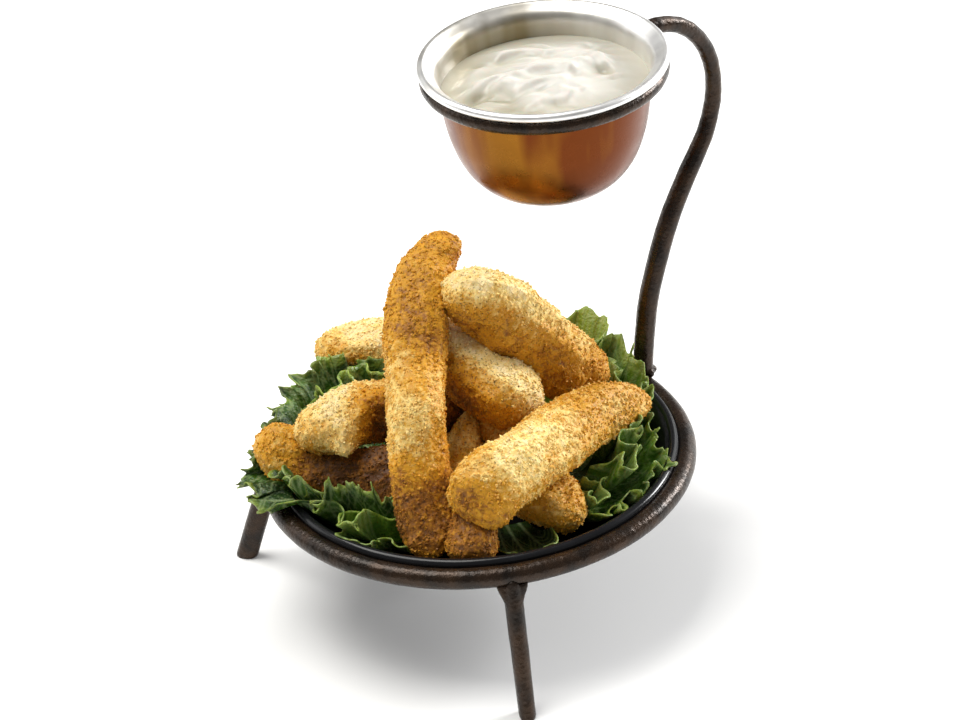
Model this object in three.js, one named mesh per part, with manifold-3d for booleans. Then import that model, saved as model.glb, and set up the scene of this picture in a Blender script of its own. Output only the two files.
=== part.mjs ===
// Fried pickle spears on a bed of lettuce, in a shallow black plate that sits in a
// three-legged iron stand, whose curved arm holds a copper cup of dip above them.
// Millimetres, +Z up. The pieces are laid out about the axis of the plate ring, with
// the feet at z = 0, and the whole is then centred on the middle of its footprint.
import * as THREE from 'three';
import { mergeVertices } from 'three/addons/utils/BufferGeometryUtils.js';
import Module from 'manifold-3d';

const wasm = await Module();
wasm.setup();
const { Manifold, Mesh: SolidMesh } = wasm;

// ---- Driving dimensions -------------------------------------------------------------

const GAP = 0.3; // free space kept between pieces that touch
const PRESS_GAP = 0.4; // the same, where an uneven piece is pressed in

const RING_RADIUS = 80; // plate ring, to the middle of its bar
const RING_BAR = 4; // radius of the bar
const RING_HEIGHT = 52.7; // middle of the bar above the floor

const LEGS = { // direction in degrees from +X, and how far the foot stands outside the ring
  front: { degrees: 276, splay: 16.6 },
  left: { degrees: 164.5, splay: 18.4 },
  back: { degrees: 38, splay: 17 },
};
const LEG_TOP_RADIUS = 3.4; // half its width along the ring, under the ring
const LEG_FOOT_RADIUS = 2.9; // and at the floor
const LEG_DEPTH_RADIUS = 4; // half its depth out from the ring
const GUSSET_TOP_WIDTH = 15;
const GUSSET_FOOT_WIDTH = 6;
const GUSSET_DROP = 11; // from the middle of the ring's bar
const GUSSET_THICKNESS = 5;

const ARM_ANGLE = 34.6; // direction of the upright plane that holds the arm
const ARM_ROUTE = [ // distance from the ring's axis, height
  [82, 54], [83.4, 67], [86.8, 86.5], [92.7, 103.1], [99.8, 119.1], [109.1, 134.1],
  [119.3, 148.6], [124.2, 162], [124.8, 174.6], [120.6, 187.8], [111, 198.6],
  [99.5, 203.1], [89.6, 203.6],
];
const ARM_BASE_RADIUS = 3.8;
const ARM_TIP_RADIUS = 3;
const WELD_BEAD = 1.9; // radius of one blob of weld
const BASE_BEADS = [-80, -30, 20, 70]; // where the blobs sit round the arm's foot, degrees
const BASE_BEAD_OUT = 2.2; // from the middle of the ring's bar to the arm's foot
const BASE_BEAD_RISE = 4.4;
const TIP_BEADS = [-4.5, 4.5]; // and round the cup ring, either side of the arm's tip
const TIP_BEAD_OUT = 2.6; // from the middle of the cup ring's bar
const TIP_BEAD_RISE = 0.4;

const CUP_OFFSET = 45.1; // from the ring's axis to the cup's, along the arm's plane
const LIP_HEIGHT = 208.8; // middle of the cup's rolled lip
const LIP_RADIUS = 45.5;
const LIP_ROLL = 1.6;
const LIP_ARC = [-150, 140, 6];
const CUP_WALL = 0.9;
const CUP_OUTLINE = [ // outer wall: radius, depth below the lip
  [0, 53], [15, 52.2], [25.5, 47.5], [32.5, 39.5], [36.8, 28.5], [39, 17], [40.2, 8], [40.6, 4.5],
  [41.7, 2], [43.5, 0.6],
];
const HOLDER_RADIUS = 43.9; // the small ring that the cup hangs in
const HOLDER_BAR = 2.8;
const HOLDER_DROP = 4.5; // below the lip

const DIP_RADIUS = 38.6; // where the dip meets the wall
const DIP_DROP = 10.5; // level of the dip there, below the lip
const DIP_MOUND = 3.6; // how much higher its middle stands
const DIP_SWIRL = 0.9; // height of the spoon marks

const PLATE_LIP_RADIUS = 75.1;
const PLATE_LIP_HEIGHT = 56.2;
const PLATE_LIP_ROLL = 1.7;
const PLATE_LIP_ARC = [-110, 190, 6]; // the rolled edge, degrees round its middle, and steps
const PLATE_FLOOR_RADIUS = 50;
const PLATE_FLOOR_HEIGHT = 42.5;
const PLATE_THICKNESS = 2;

// Each spear: the line through its middle from tip to tip, [x, y, z] with the ring's
// axis at x = y = 0, its width across that line, its depth upwards, the turn of its
// wedge about the line in degrees, how blunt its tips are, and how much its size grows
// (or shrinks) along the line. The list runs from the spears that keep their shape to
// those that are pressed in where they touch an earlier one.
const SPEARS = {
  tall: {
    line: [[-21, -61, 50], [-22, -47, 64], [-22, -30, 83], [-21, -9, 101], [-17, 17, 116], [-5, 43, 129]],
    width: 22.5, depth: 21, turn: 20, blunt: 6, taper: 0.02,
  },
  crown: {
    line: [[-8, 11, 123], [10, 14, 113], [24, 18, 95], [36, 22, 79], [47, 29, 65]],
    width: 30, depth: 29, turn: 60, blunt: 3.6, taper: 0.02,
  },
  cross: {
    line: [[-11, -60, 72], [8, -49, 76], [26, -29, 76], [44, -7, 73], [67, 11, 66]],
    width: 27, depth: 23, turn: 90, blunt: 4.5, taper: -0.18,
  },
  middle: {
    line: [[-19, 40, 94], [-4, 18, 89.5], [9.5, 2, 83.5], [22, -7, 76.5]],
    width: 31, depth: 27, turn: 40, blunt: 4, taper: -0.04,
  },
  hooked: {
    line: [[-68, -5, 73], [-59, -6, 76], [-50, -3, 77.5], [-38, 3, 77], [-20, 12, 70], [0, 17, 64]],
    width: 24, depth: 23, turn: 150, blunt: 3.4, taper: 0,
  },
  far: {
    line: [[-60, 62, 69], [-46, 60, 71.5], [-26, 57, 72.5], [-8, 56, 71], [12, 54, 68]],
    width: 20, depth: 19, turn: 10, blunt: 4, taper: 0,
  },
  low_left: {
    line: [[-83, 0, 72], [-73, -3, 65], [-60, -6, 59], [-46, -12, 56], [-30, -17, 55], [-22, -18, 55]],
    width: 24, depth: 23, turn: 100, blunt: 4.5, taper: 0,
  },
  low_right: {
    line: [[34, -52, 54], [24, -31, 56.5], [15, -5, 58], [6, 20, 58]],
    width: 21, depth: 21, turn: 30, blunt: 4.5, taper: 0,
  },
  low_front: {
    line: [[-4, -72, 57], [-5, -50, 57], [-6, -20, 56], [-6, 14, 56]],
    width: 20, depth: 20, turn: 70, blunt: 6, taper: 0,
  },
};

// Each leaf: the sector of the plate that it covers, in degrees, the distances from the
// ring's axis of its base and its rim, how high the rim is lifted, and the height and
// number of its ruffles. Towards its second side it may lean up more, or slant outwards.
const LEAVES = {
  back_left: { from: 128, to: 174, inner: 12, reach: 84, lift: 6, ruffle: 5, waves: 5, lean: 0.3 },
  left: { from: 176, to: 196, inner: 40, reach: 91, lift: 0, ruffle: 5, waves: 3 },
  front_left: { from: 200, to: 232, inner: 52, reach: 59, lift: 17, ruffle: 5, waves: 4, slant: -10 },
  front: { from: 221, to: 252, inner: 61, reach: 70, lift: 2, ruffle: 5, waves: 4 },
  front_right: { from: 276, to: 304, inner: 36, reach: 68, lift: 1, ruffle: 3, waves: 3 },
  right: { from: 309, to: 369, inner: 14, reach: 73, lift: 1, ruffle: 9, waves: 6 },
  back_right: { from: 12, to: 60, inner: 16, reach: 74, lift: 13, ruffle: 5, waves: 5, lean: 0.6 },
  back: { from: 63, to: 103, inner: 12, reach: 73, lift: 15, ruffle: 5, waves: 5, lean: 0.2 },
  rear: { from: 105, to: 126, inner: 14, reach: 78, lift: 2, ruffle: 4, waves: 3 },
};
const LEAF_THICKNESS = 1.1;
const LEAF_CLEARANCE = 1.3; // above the plate

const SPEAR_CORNER = 0.1; // how far a spear's three corners stand out, as a share of its size
const SPEAR_LUMPS = [0.045, 0.035]; // the same for its wide and its narrow lumps
const PLATE_WALL_POWER = 2.2; // how late the plate's wall turns up
const PLATE_WALL_SHARES = [0, 0.3, 0.55, 0.8]; // where its outline has a point

// ---- How finely the round shapes are divided ----------------------------------------

const RING_SEGMENTS = 52;
const RING_SIDES = 8;
const LEG_RINGS = 4;
const LEG_SIDES = 12;
const ARM_RINGS = 28;
const ARM_SIDES = 10;
const SPEAR_RINGS = 13;
const SPEAR_SIDES = 12;
const LEAF_STEPS = 4; // from base to rim
const RUFFLE_STEPS = 3; // across each ruffle
const CUP_SEGMENTS = 32;
const CUP_STEPS = 9;
const DIP_RINGS = 6;

// ---- Finishes -----------------------------------------------------------------------

const finish = (color, roughness, metalness) => ({ color, roughness, metalness });
const IRON = finish('#2e211b', 0.5, 0.8);
const BLACK_ENAMEL = finish('#121214', 0.18, 0.1);
const COPPER = finish('#a85a24', 0.28, 1);
const DIP = finish('#efe9dc', 0.45, 0);
const CRUMB = finish('#cf9a45', 0.85, 0);
const LETTUCE = finish('#4f8f2a', 0.5, 0);

// ---- Geometry helpers ---------------------------------------------------------------

const radians = THREE.MathUtils.degToRad;

/** A point from its distance to the ring's axis, its direction in degrees and its height. */
function polar(radius, degrees, height) {
  const angle = radians(degrees);
  return new THREE.Vector3(radius * Math.cos(angle), radius * Math.sin(angle), height);
}

/** The solid that a closed geometry bounds. */
function solidOf(geometry) {
  const bare = geometry.clone();
  bare.deleteAttribute('normal');
  bare.deleteAttribute('uv');
  const merged = mergeVertices(bare, 1e-4);
  return new Manifold(new SolidMesh({
    numProp: 3,
    vertProperties: new Float32Array(merged.attributes.position.array),
    triVerts: new Uint32Array(merged.index.array),
  }));
}

/** The geometry of the largest single body of a solid; loose scraps are dropped. */
function geometryOf(solid) {
  const [largest] = solid.decompose().sort((a, b) => b.volume() - a.volume());
  const { vertProperties, triVerts } = largest.getMesh();
  const geometry = new THREE.BufferGeometry();
  geometry.setAttribute('position', new THREE.BufferAttribute(vertProperties, 3));
  geometry.setIndex(new THREE.BufferAttribute(triVerts, 1));
  geometry.computeVertexNormals();
  return geometry;
}

/** Turns a profile of [radius, height] points about +Z; it runs up the outside. */
function turned(profile, segments) {
  const points = profile.map(([radius, height]) => new THREE.Vector2(radius, height));
  return new THREE.LatheGeometry(points, segments).rotateX(Math.PI / 2);
}

/** Points of an arc about a centre, from one angle to another in degrees. */
function arc([x, y], radius, from, to, steps) {
  return Array.from({ length: steps + 1 }, (_, i) => {
    const angle = radians(THREE.MathUtils.lerp(from, to, i / steps));
    return [x + radius * Math.cos(angle), y + radius * Math.sin(angle)];
  });
}

/** A ring of round bar about +Z, with its middle at a height. */
function barRing(radius, bar, height, segments, sides) {
  const section = arc([radius, height], bar, 0, 360, sides);
  section[sides] = section[0];
  return turned(section, segments);
}

/**
 * A closed solid along a curve. A unit sphere's rings are laid along it: place(t) gives
 * where on the curve ring t (0 to 1) sits and how large it is, and section(at, angle)
 * gives its outline across the curve, sideways and upwards.
 */
function swept(curve, { rings, sides, place, section, up, grow = 0 }) {
  const geometry = new THREE.SphereGeometry(1, sides, rings);
  const position = geometry.attributes.position;
  const upwards = new THREE.Vector3();
  const sideways = new THREE.Vector3();
  for (let ring = 0; ring <= rings; ring += 1) {
    const { at, size } = place(ring / rings);
    const centre = curve.getPoint(at);
    const along = curve.getTangent(at);
    upwards.copy(up).addScaledVector(along, -up.dot(along)).normalize();
    sideways.crossVectors(along, upwards);
    const end = at < 0.5 ? -1 : 1;
    centre.addScaledVector(along, end * grow * (1 - size));
    for (let side = 0; side <= sides; side += 1) {
      const angle = (2 * Math.PI * (side % sides)) / sides;
      const [across, rise] = section(at, angle);
      const point = centre.clone()
        .addScaledVector(sideways, size * (across + grow * Math.cos(angle)))
        .addScaledVector(upwards, size * (rise + grow * Math.sin(angle)));
      position.setXYZ(ring * (sides + 1) + side, point.x, point.y, point.z);
    }
  }
  return geometry;
}

/** Rings close together at the two ends, which are round; blunt sets how square. */
function roundEnds(blunt) {
  return (t) => {
    const at = (1 - Math.cos(Math.PI * t)) / 2;
    return { at, size: (1 - Math.abs(2 * at - 1) ** blunt) ** 0.5 };
  };
}

/** Rings evenly spaced between two flat ends. */
function flatEnds(rings) {
  return (t) => {
    const ring = Math.round(t * rings);
    const isEnd = ring === 0 || ring === rings;
    return { at: THREE.MathUtils.clamp((ring - 1) / (rings - 2), 0, 1), size: isEnd ? 0 : 1 };
  };
}

// ---- Stand --------------------------------------------------------------------------

const plateRing = (grow = 0) => solidOf(
  barRing(RING_RADIUS, RING_BAR + grow, RING_HEIGHT, RING_SEGMENTS, RING_SIDES),
);

/** A splayed leg with a flared gusset under the ring, its foot cut flat on the floor. */
function leg({ degrees, splay }) {
  const top = polar(RING_RADIUS, degrees, RING_HEIGHT);
  const foot = polar(RING_RADIUS + splay, degrees, 0);
  const along = foot.clone().sub(top).normalize();
  const spare = 2 * LEG_DEPTH_RADIUS; // runs below the floor before the foot is cut
  const line = new THREE.LineCurve3(top, foot.clone().addScaledVector(along, spare));
  const outward = polar(1, degrees, 0);
  const rod = solidOf(swept(line, {
    rings: LEG_RINGS,
    sides: LEG_SIDES,
    place: flatEnds(LEG_RINGS),
    section: (at, angle) => {
      const radius = THREE.MathUtils.lerp(LEG_TOP_RADIUS, LEG_FOOT_RADIUS, at);
      return [radius * Math.cos(angle), LEG_DEPTH_RADIUS * Math.sin(angle)];
    },
    up: outward,
  }));

  const outline = new THREE.Shape([
    new THREE.Vector2(-GUSSET_TOP_WIDTH / 2, 0),
    new THREE.Vector2(-GUSSET_FOOT_WIDTH / 2, -GUSSET_DROP),
    new THREE.Vector2(GUSSET_FOOT_WIDTH / 2, -GUSSET_DROP),
    new THREE.Vector2(GUSSET_TOP_WIDTH / 2, 0),
  ]);
  const gusset = new THREE.ExtrudeGeometry(outline, {
    depth: GUSSET_THICKNESS, bevelEnabled: false,
  });
  gusset.translate(0, 0, -GUSSET_THICKNESS / 2);
  const across = new THREE.Vector3().crossVectors(along.clone().negate(), outward);
  const facing = new THREE.Vector3().crossVectors(across, along.clone().negate());
  gusset.applyMatrix4(new THREE.Matrix4().makeBasis(across, along.clone().negate(), facing)
    .setPosition(top));

  const below = new THREE.BoxGeometry(4 * RING_RADIUS, 4 * RING_RADIUS, RING_HEIGHT);
  below.translate(0, 0, -RING_HEIGHT / 2);
  return rod.add(solidOf(gusset)).subtract(solidOf(below)).subtract(plateRing(GAP));
}

const armCurve = new THREE.CatmullRomCurve3(
  ARM_ROUTE.map(([radius, height]) => polar(radius, ARM_ANGLE, height)),
);
const cupCentre = polar(CUP_OFFSET, ARM_ANGLE, 0);
const holderHeight = LIP_HEIGHT - HOLDER_DROP;

const cupRing = (grow = 0) => solidOf(
  barRing(HOLDER_RADIUS, HOLDER_BAR + grow, holderHeight, CUP_SEGMENTS, RING_SIDES)
    .translate(cupCentre.x, cupCentre.y, 0),
);

/** The S-curved arm, welded on the plate ring and to the side of the cup ring. */
function arm() {
  const rod = solidOf(swept(armCurve, {
    rings: ARM_RINGS,
    sides: ARM_SIDES,
    place: flatEnds(ARM_RINGS),
    section: (at, angle) => {
      const thinning = THREE.MathUtils.smoothstep(at, 0.3, 0.65);
      const radius = THREE.MathUtils.lerp(ARM_BASE_RADIUS, ARM_TIP_RADIUS, thinning);
      return [radius * Math.cos(angle), radius * Math.sin(angle)];
    },
    up: polar(1, ARM_ANGLE + 90, 0),
  }));
  const bead = (place) => solidOf(
    new THREE.IcosahedronGeometry(WELD_BEAD, 0).translate(place.x, place.y, place.z),
  );
  const base = polar(RING_RADIUS + BASE_BEAD_OUT, ARM_ANGLE, RING_HEIGHT + BASE_BEAD_RISE);
  const baseBeads = BASE_BEADS.map(
    (around) => base.clone().add(polar(ARM_BASE_RADIUS, ARM_ANGLE + around, 0)),
  );
  const tipRadius = HOLDER_RADIUS + TIP_BEAD_OUT;
  const tipBeads = TIP_BEADS.map((around) => cupCentre.clone()
    .add(polar(tipRadius, ARM_ANGLE + around, holderHeight + TIP_BEAD_RISE)));
  return [...baseBeads, ...tipBeads]
    .reduce((whole, place) => whole.add(bead(place)), rod)
    .subtract(plateRing(GAP))
    .subtract(cupRing(GAP));
}

// ---- Cup of dip ---------------------------------------------------------------------

/** The cup's outer wall, from the middle of its foot up to the lip. */
function cupOutline(steps) {
  const spline = new THREE.SplineCurve(
    CUP_OUTLINE.map(([radius, depth]) => new THREE.Vector2(radius, LIP_HEIGHT - depth)),
  );
  return Array.from({ length: steps + 1 }, (_, i) => {
    const point = spline.getPoint(i / steps);
    const slope = spline.getTangent(i / steps);
    return { radius: Math.max(point.x, 0), height: point.y, slope };
  });
}

/** The outline moved inwards, square to the wall. */
function inset(outline, distance) {
  return outline.map(({ radius, height, slope }, i) => (
    i === 0
      ? [0, height + distance]
      : [radius - distance * slope.y, height + distance * slope.x]
  ));
}

function sauceCup() {
  const outline = cupOutline(CUP_STEPS);
  const outside = outline.map(({ radius, height }) => [radius, height]);
  const inside = inset(outline, CUP_WALL).reverse();
  const lip = arc([LIP_RADIUS, LIP_HEIGHT], LIP_ROLL, ...LIP_ARC);
  return turned([...outside, ...lip, ...inside], CUP_SEGMENTS)
    .translate(cupCentre.x, cupCentre.y, 0);
}

/** Height of the dip's surface at a share of its radius and a direction. */
function dipHeight(share, angle) {
  const mound = DIP_MOUND * (1 - share * share) ** 1.5;
  const spoon = Math.sin(2 * angle + 6 * share) * share * (1 - share) * 4;
  return LIP_HEIGHT - DIP_DROP + mound + DIP_SWIRL * spoon;
}

/** The dip: fills the cup to its level, with a mounded, spooned surface. */
function dip() {
  const level = LIP_HEIGHT - DIP_DROP;
  const wall = inset(cupOutline(CUP_STEPS), CUP_WALL + GAP)
    .filter(([, height]) => height < level - 1);
  const surface = Array.from(
    { length: DIP_RINGS + 1 },
    (_, i) => [DIP_RADIUS * (1 - i / DIP_RINGS), level],
  );
  const geometry = turned([...wall, ...surface], CUP_SEGMENTS);
  const position = geometry.attributes.position;
  for (let i = 0; i < position.count; i += 1) {
    const radius = Math.hypot(position.getX(i), position.getY(i));
    const angle = radius < 1e-6 ? 0 : Math.atan2(position.getY(i), position.getX(i));
    if (position.getZ(i) > level - 1e-3) {
      position.setZ(i, dipHeight(Math.min(radius / DIP_RADIUS, 1), angle));
    }
  }
  return geometry.translate(cupCentre.x, cupCentre.y, 0);
}

// ---- Plate --------------------------------------------------------------------------

/** Height of the plate's upper face: a flat floor that curves up to the lip. */
function plateHeight(radius) {
  const innerLip = PLATE_LIP_RADIUS - PLATE_LIP_ROLL;
  const share = (radius - PLATE_FLOOR_RADIUS) / (innerLip - PLATE_FLOOR_RADIUS);
  const rise = PLATE_LIP_HEIGHT - PLATE_FLOOR_HEIGHT;
  return PLATE_FLOOR_HEIGHT + rise * THREE.MathUtils.clamp(share, 0, 1) ** PLATE_WALL_POWER;
}

function plate() {
  const innerLip = PLATE_LIP_RADIUS - PLATE_LIP_ROLL;
  const radii = PLATE_WALL_SHARES.map(
    (share) => THREE.MathUtils.lerp(PLATE_FLOOR_RADIUS, innerLip, share),
  );
  const above = radii.map((radius) => [radius, plateHeight(radius)]);
  const below = above.map(([radius, height]) => [
    radius + PLATE_THICKNESS / 2, height - PLATE_THICKNESS,
  ]);
  const lip = arc([PLATE_LIP_RADIUS, PLATE_LIP_HEIGHT], PLATE_LIP_ROLL, ...PLATE_LIP_ARC);
  return turned([
    [0, PLATE_FLOOR_HEIGHT - PLATE_THICKNESS],
    ...below,
    ...lip,
    ...above.reverse(),
    [0, PLATE_FLOOR_HEIGHT],
  ], RING_SEGMENTS);
}

/** What the food lies on, a little swollen so that it keeps clear. */
const bed = solidOf(plate()).translate([0, 0, PRESS_GAP])
  .add(solidOf(barRing(
    PLATE_LIP_RADIUS, PLATE_LIP_ROLL + PRESS_GAP, PLATE_LIP_HEIGHT, RING_SEGMENTS, RING_SIDES,
  )))
  .add(plateRing(PRESS_GAP));

// ---- Pickle spears ------------------------------------------------------------------

/** One breaded spear: a soft three-cornered wedge with uneven sides. */
function spear({ line, width, depth, turn, blunt, taper }, seed, grow = 0) {
  const curve = new THREE.CatmullRomCurve3(line.map((place) => new THREE.Vector3(...place)));
  return solidOf(swept(curve, {
    rings: SPEAR_RINGS,
    sides: SPEAR_SIDES,
    place: roundEnds(blunt),
    section: (at, angle) => {
      const corner = 1 + SPEAR_CORNER * Math.cos(3 * (angle - radians(turn)));
      const [wide, narrow] = SPEAR_LUMPS;
      const lumps = 1 + wide * Math.sin(2 * angle + 11 * at + seed)
        + narrow * Math.sin(3 * angle - 17 * at + 2.3 * seed);
      const size = corner * lumps * (1 + taper * (2 * at - 1));
      return [0.5 * width * size * Math.cos(angle), 0.5 * depth * size * Math.sin(angle)];
    },
    up: new THREE.Vector3(0, 0, 1),
    grow,
  }));
}

/** All spears, each pressed in where it would run into the plate or an earlier one. */
function spears() {
  const rows = Object.values(SPEARS);
  return rows.map((row, i) => rows.slice(0, i).reduce(
    (solid, other, j) => solid.subtract(spear(other, j, PRESS_GAP)),
    spear(row, i).subtract(bed),
  ));
}

// ---- Lettuce ------------------------------------------------------------------------

/** Height at which a leaf lies on the plate, its lip and the ring. */
function bedHeight(radius) {
  const overLip = PLATE_LIP_HEIGHT + PLATE_LIP_ROLL;
  const nearLip = THREE.MathUtils.smoothstep(radius, PLATE_LIP_RADIUS - 8, PLATE_LIP_RADIUS - 2);
  return THREE.MathUtils.lerp(plateHeight(radius), overLip, nearLip) + LEAF_CLEARANCE;
}

/** The middle surface of a leaf: u runs out from its base, v across it from -1 to 1. */
function leafPoint(row, seed, u, v) {
  const { from, to, inner, reach, lift, ruffle, waves, lean = 0, slant = 0 } = row;
  const rim = reach * (1 - 0.08 * v * v + 0.035 * Math.sin(2 * waves * v + seed));
  const radius = THREE.MathUtils.lerp(inner, rim, u) + slant * v;
  const direction = (from + to) / 2 + (v * (to - from)) / 2;
  const ripple = 0.5 + 0.5 * Math.sin(waves * Math.PI * v + seed + 2 * u);
  const height = bedHeight(radius) + lift * (1 + lean * v) * u ** 2 + ruffle * ripple * u;
  return polar(radius, direction, height);
}

/** A leaf: a thin wavy sheet from the plate's middle up to a ruffled rim. */
function leaf(row, seed) {
  const across = RUFFLE_STEPS * row.waves + 2;
  const geometry = new THREE.BoxGeometry(2, 1, 1, across, LEAF_STEPS, 1);
  const position = geometry.attributes.position;
  const step = 0.01;
  for (let i = 0; i < position.count; i += 1) {
    const u = position.getY(i) + 0.5;
    const v = -position.getX(i);
    const point = leafPoint(row, seed, u, v);
    const outward = leafPoint(row, seed, u + step, v).sub(point);
    const sideways = leafPoint(row, seed, u, v + step).sub(point);
    const normal = new THREE.Vector3().crossVectors(outward, sideways).normalize();
    point.addScaledVector(normal, position.getZ(i) * LEAF_THICKNESS);
    position.setXYZ(i, point.x, point.y, point.z);
  }
  return solidOf(geometry);
}

// ---- Assembly -----------------------------------------------------------------------

const model = new THREE.Group();

function addPiece(name, geometry, { color, roughness, metalness }) {
  const material = new THREE.MeshStandardMaterial({ color, roughness, metalness });
  const mesh = new THREE.Mesh(geometry, material);
  mesh.name = name;
  model.add(mesh);
}

addPiece('plate_ring', geometryOf(plateRing()), IRON);
for (const [name, row] of Object.entries(LEGS)) {
  addPiece(`leg_${name}`, geometryOf(leg(row)), IRON);
}
addPiece('arm', geometryOf(arm()), IRON);
addPiece('cup_ring', geometryOf(cupRing()), IRON);
addPiece('sauce_cup', geometryOf(solidOf(sauceCup())), COPPER);
addPiece('dip', geometryOf(solidOf(dip())), DIP);
addPiece('plate', geometryOf(solidOf(plate())), BLACK_ENAMEL);

spears().forEach((solid, i) => {
  addPiece(`spear_${Object.keys(SPEARS)[i]}`, geometryOf(solid), CRUMB);
});
const grownSpears = Object.values(SPEARS).map((row, i) => spear(row, i, PRESS_GAP));
Object.entries(LEAVES).forEach(([name, row], seed) => {
  const cut = grownSpears.reduce(
    (solid, other) => solid.subtract(other),
    leaf(row, seed).subtract(bed),
  );
  addPiece(`leaf_${name}`, geometryOf(cut), LETTUCE);
});

const box = new THREE.Box3().setFromObject(model, true);
model.position.set(-(box.min.x + box.max.x) / 2, -(box.min.y + box.max.y) / 2, -box.min.z);
model.updateMatrixWorld(true);

export default model;
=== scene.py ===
"""Fried pickle spears on lettuce, in a black plate on an iron stand with a cup of dip.

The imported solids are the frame. Every piece made here takes the place of one of them, at
its real size in metres, and the camera, the floor and the lights are set round the whole.
"""

import logging
import math
from dataclasses import dataclass, field
from enum import Enum
from typing import Sequence

import bpy
import numpy as np
from mathutils import Matrix, Vector
from mathutils.bvhtree import BVHTree


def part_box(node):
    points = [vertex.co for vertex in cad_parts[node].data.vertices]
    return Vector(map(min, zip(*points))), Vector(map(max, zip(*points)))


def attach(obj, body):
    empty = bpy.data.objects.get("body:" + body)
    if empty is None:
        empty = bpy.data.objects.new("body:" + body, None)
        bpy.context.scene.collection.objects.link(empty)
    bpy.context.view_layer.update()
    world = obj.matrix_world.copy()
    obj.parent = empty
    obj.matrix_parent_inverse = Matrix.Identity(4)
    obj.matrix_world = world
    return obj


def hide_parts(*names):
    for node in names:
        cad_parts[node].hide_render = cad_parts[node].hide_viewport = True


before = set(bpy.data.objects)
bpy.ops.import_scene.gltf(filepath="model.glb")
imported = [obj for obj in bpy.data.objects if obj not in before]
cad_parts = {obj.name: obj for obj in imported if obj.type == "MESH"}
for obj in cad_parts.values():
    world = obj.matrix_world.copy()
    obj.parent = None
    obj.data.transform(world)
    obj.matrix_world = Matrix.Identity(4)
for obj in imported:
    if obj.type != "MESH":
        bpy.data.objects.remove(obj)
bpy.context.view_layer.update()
LOG = logging.getLogger("fried_pickles")
MM = 0.001
MERGE = MM / 100

Colour = tuple[float, float, float]
Range = tuple[float, float]
Profile = Sequence[tuple[float, float]]


class Slot(Enum):
    """Names of the material slots."""

    IRON = "wrought_iron"
    ENAMEL = "black_enamel"
    COPPER = "copper_cup"
    DIP = "creamy_dip"
    CRUMB = "fried_crumb"
    LETTUCE = "lettuce"


class Grain(Enum):
    """Kinds of relief that a surface can be given."""

    CLOUDS = "CLOUDS"
    CELLS = "VORONOI"


@dataclass(frozen=True)
class Relief:
    """One layer of relief: its kind, how wide its bumps are and how high, in metres."""

    grain: Grain
    width: float
    height: float


@dataclass(frozen=True)
class Ripple:
    """Fine unevenness of a finish: its width and depth in metres, and its sharpness."""

    width: float
    depth: float
    sharpness: float


# ---- Bench: selecting, shaping and finishing meshes ---------------------------------


def nothing_selected() -> None:
    """Leave edit mode and deselect everything."""
    if bpy.context.mode != "OBJECT":
        bpy.ops.object.mode_set(mode="OBJECT")
    bpy.ops.object.select_all(action="DESELECT")


def work_on(piece: bpy.types.Object) -> None:
    """Make one object the only selected and active one."""
    nothing_selected()
    piece.select_set(True)
    bpy.context.view_layer.objects.active = piece


def settle(piece: bpy.types.Object) -> None:
    """Move an object's place, turn and size into its mesh."""
    work_on(piece)
    bpy.ops.object.transform_apply(location=True, rotation=True, scale=True)


def modified(piece: bpy.types.Object, kind: str, **settings: object) -> None:
    """Add a modifier and apply it.

    Args:
        piece: The object to change.
        kind: Blender's name of the modifier.
        **settings: The modifier's own settings.
    """
    work_on(piece)
    modifier = piece.modifiers.new(kind.title(), kind)
    for name, value in settings.items():
        setattr(modifier, name, value)
    bpy.ops.object.modifier_apply(modifier=modifier.name)


def relieved(piece: bpy.types.Object, layers: Sequence[Relief]) -> None:
    """Raise layers of relief on a surface, along its normals.

    Args:
        piece: The object to change.
        layers: The layers, one after the other.
    """
    for layer in layers:
        texture = bpy.data.textures.new("relief", type=layer.grain.value)
        texture.noise_scale = layer.width
        modified(piece, "DISPLACE", texture=texture, texture_coords="LOCAL",
                 direction="NORMAL", mid_level=0.5, strength=layer.height)
        bpy.data.textures.remove(texture)


def places(piece: bpy.types.Object) -> np.ndarray:
    """The vertices of a mesh as rows of x, y, z."""
    flat = np.empty(3 * len(piece.data.vertices))
    piece.data.vertices.foreach_get("co", flat)
    return flat.reshape(-1, 3)


def normals(piece: bpy.types.Object) -> np.ndarray:
    """The vertex normals of a mesh as rows."""
    flat = np.empty(3 * len(piece.data.vertices))
    piece.data.vertices.foreach_get("normal", flat)
    return flat.reshape(-1, 3)


def placed(piece: bpy.types.Object, points: np.ndarray) -> None:
    """Move the vertices of a mesh to new places."""
    piece.data.vertices.foreach_set("co", points.ravel())
    piece.data.update()


def marked(piece: bpy.types.Object, name: str, values: np.ndarray) -> None:
    """Store one number for each vertex, for a material to read."""
    layer = piece.data.attributes.new(name, "FLOAT", "POINT")
    layer.data.foreach_set("value", np.asarray(values, dtype=np.float32))


def smooth(knots: Sequence[Sequence[float]], count: int) -> np.ndarray:
    """Points of the smooth curve through some knots.

    Args:
        knots: A row of numbers for each knot.
        count: How many points to give, first and last knot included.

    Returns:
        A row for each point.
    """
    rows = np.array(knots, dtype=float)
    padded = np.vstack([2 * rows[0] - rows[1], rows, 2 * rows[-1] - rows[-2]])
    at = np.linspace(0, len(rows) - 1, count)
    start = np.minimum(at.astype(int), len(rows) - 2)
    s = (at - start)[:, None]
    a, b, c, d = (padded[start + i] for i in range(4))
    return 0.5 * (2 * b + (c - a) * s + (2 * a - 5 * b + 4 * c - d) * s ** 2
                  + (3 * b - a - 3 * c + d) * s ** 3)


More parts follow.
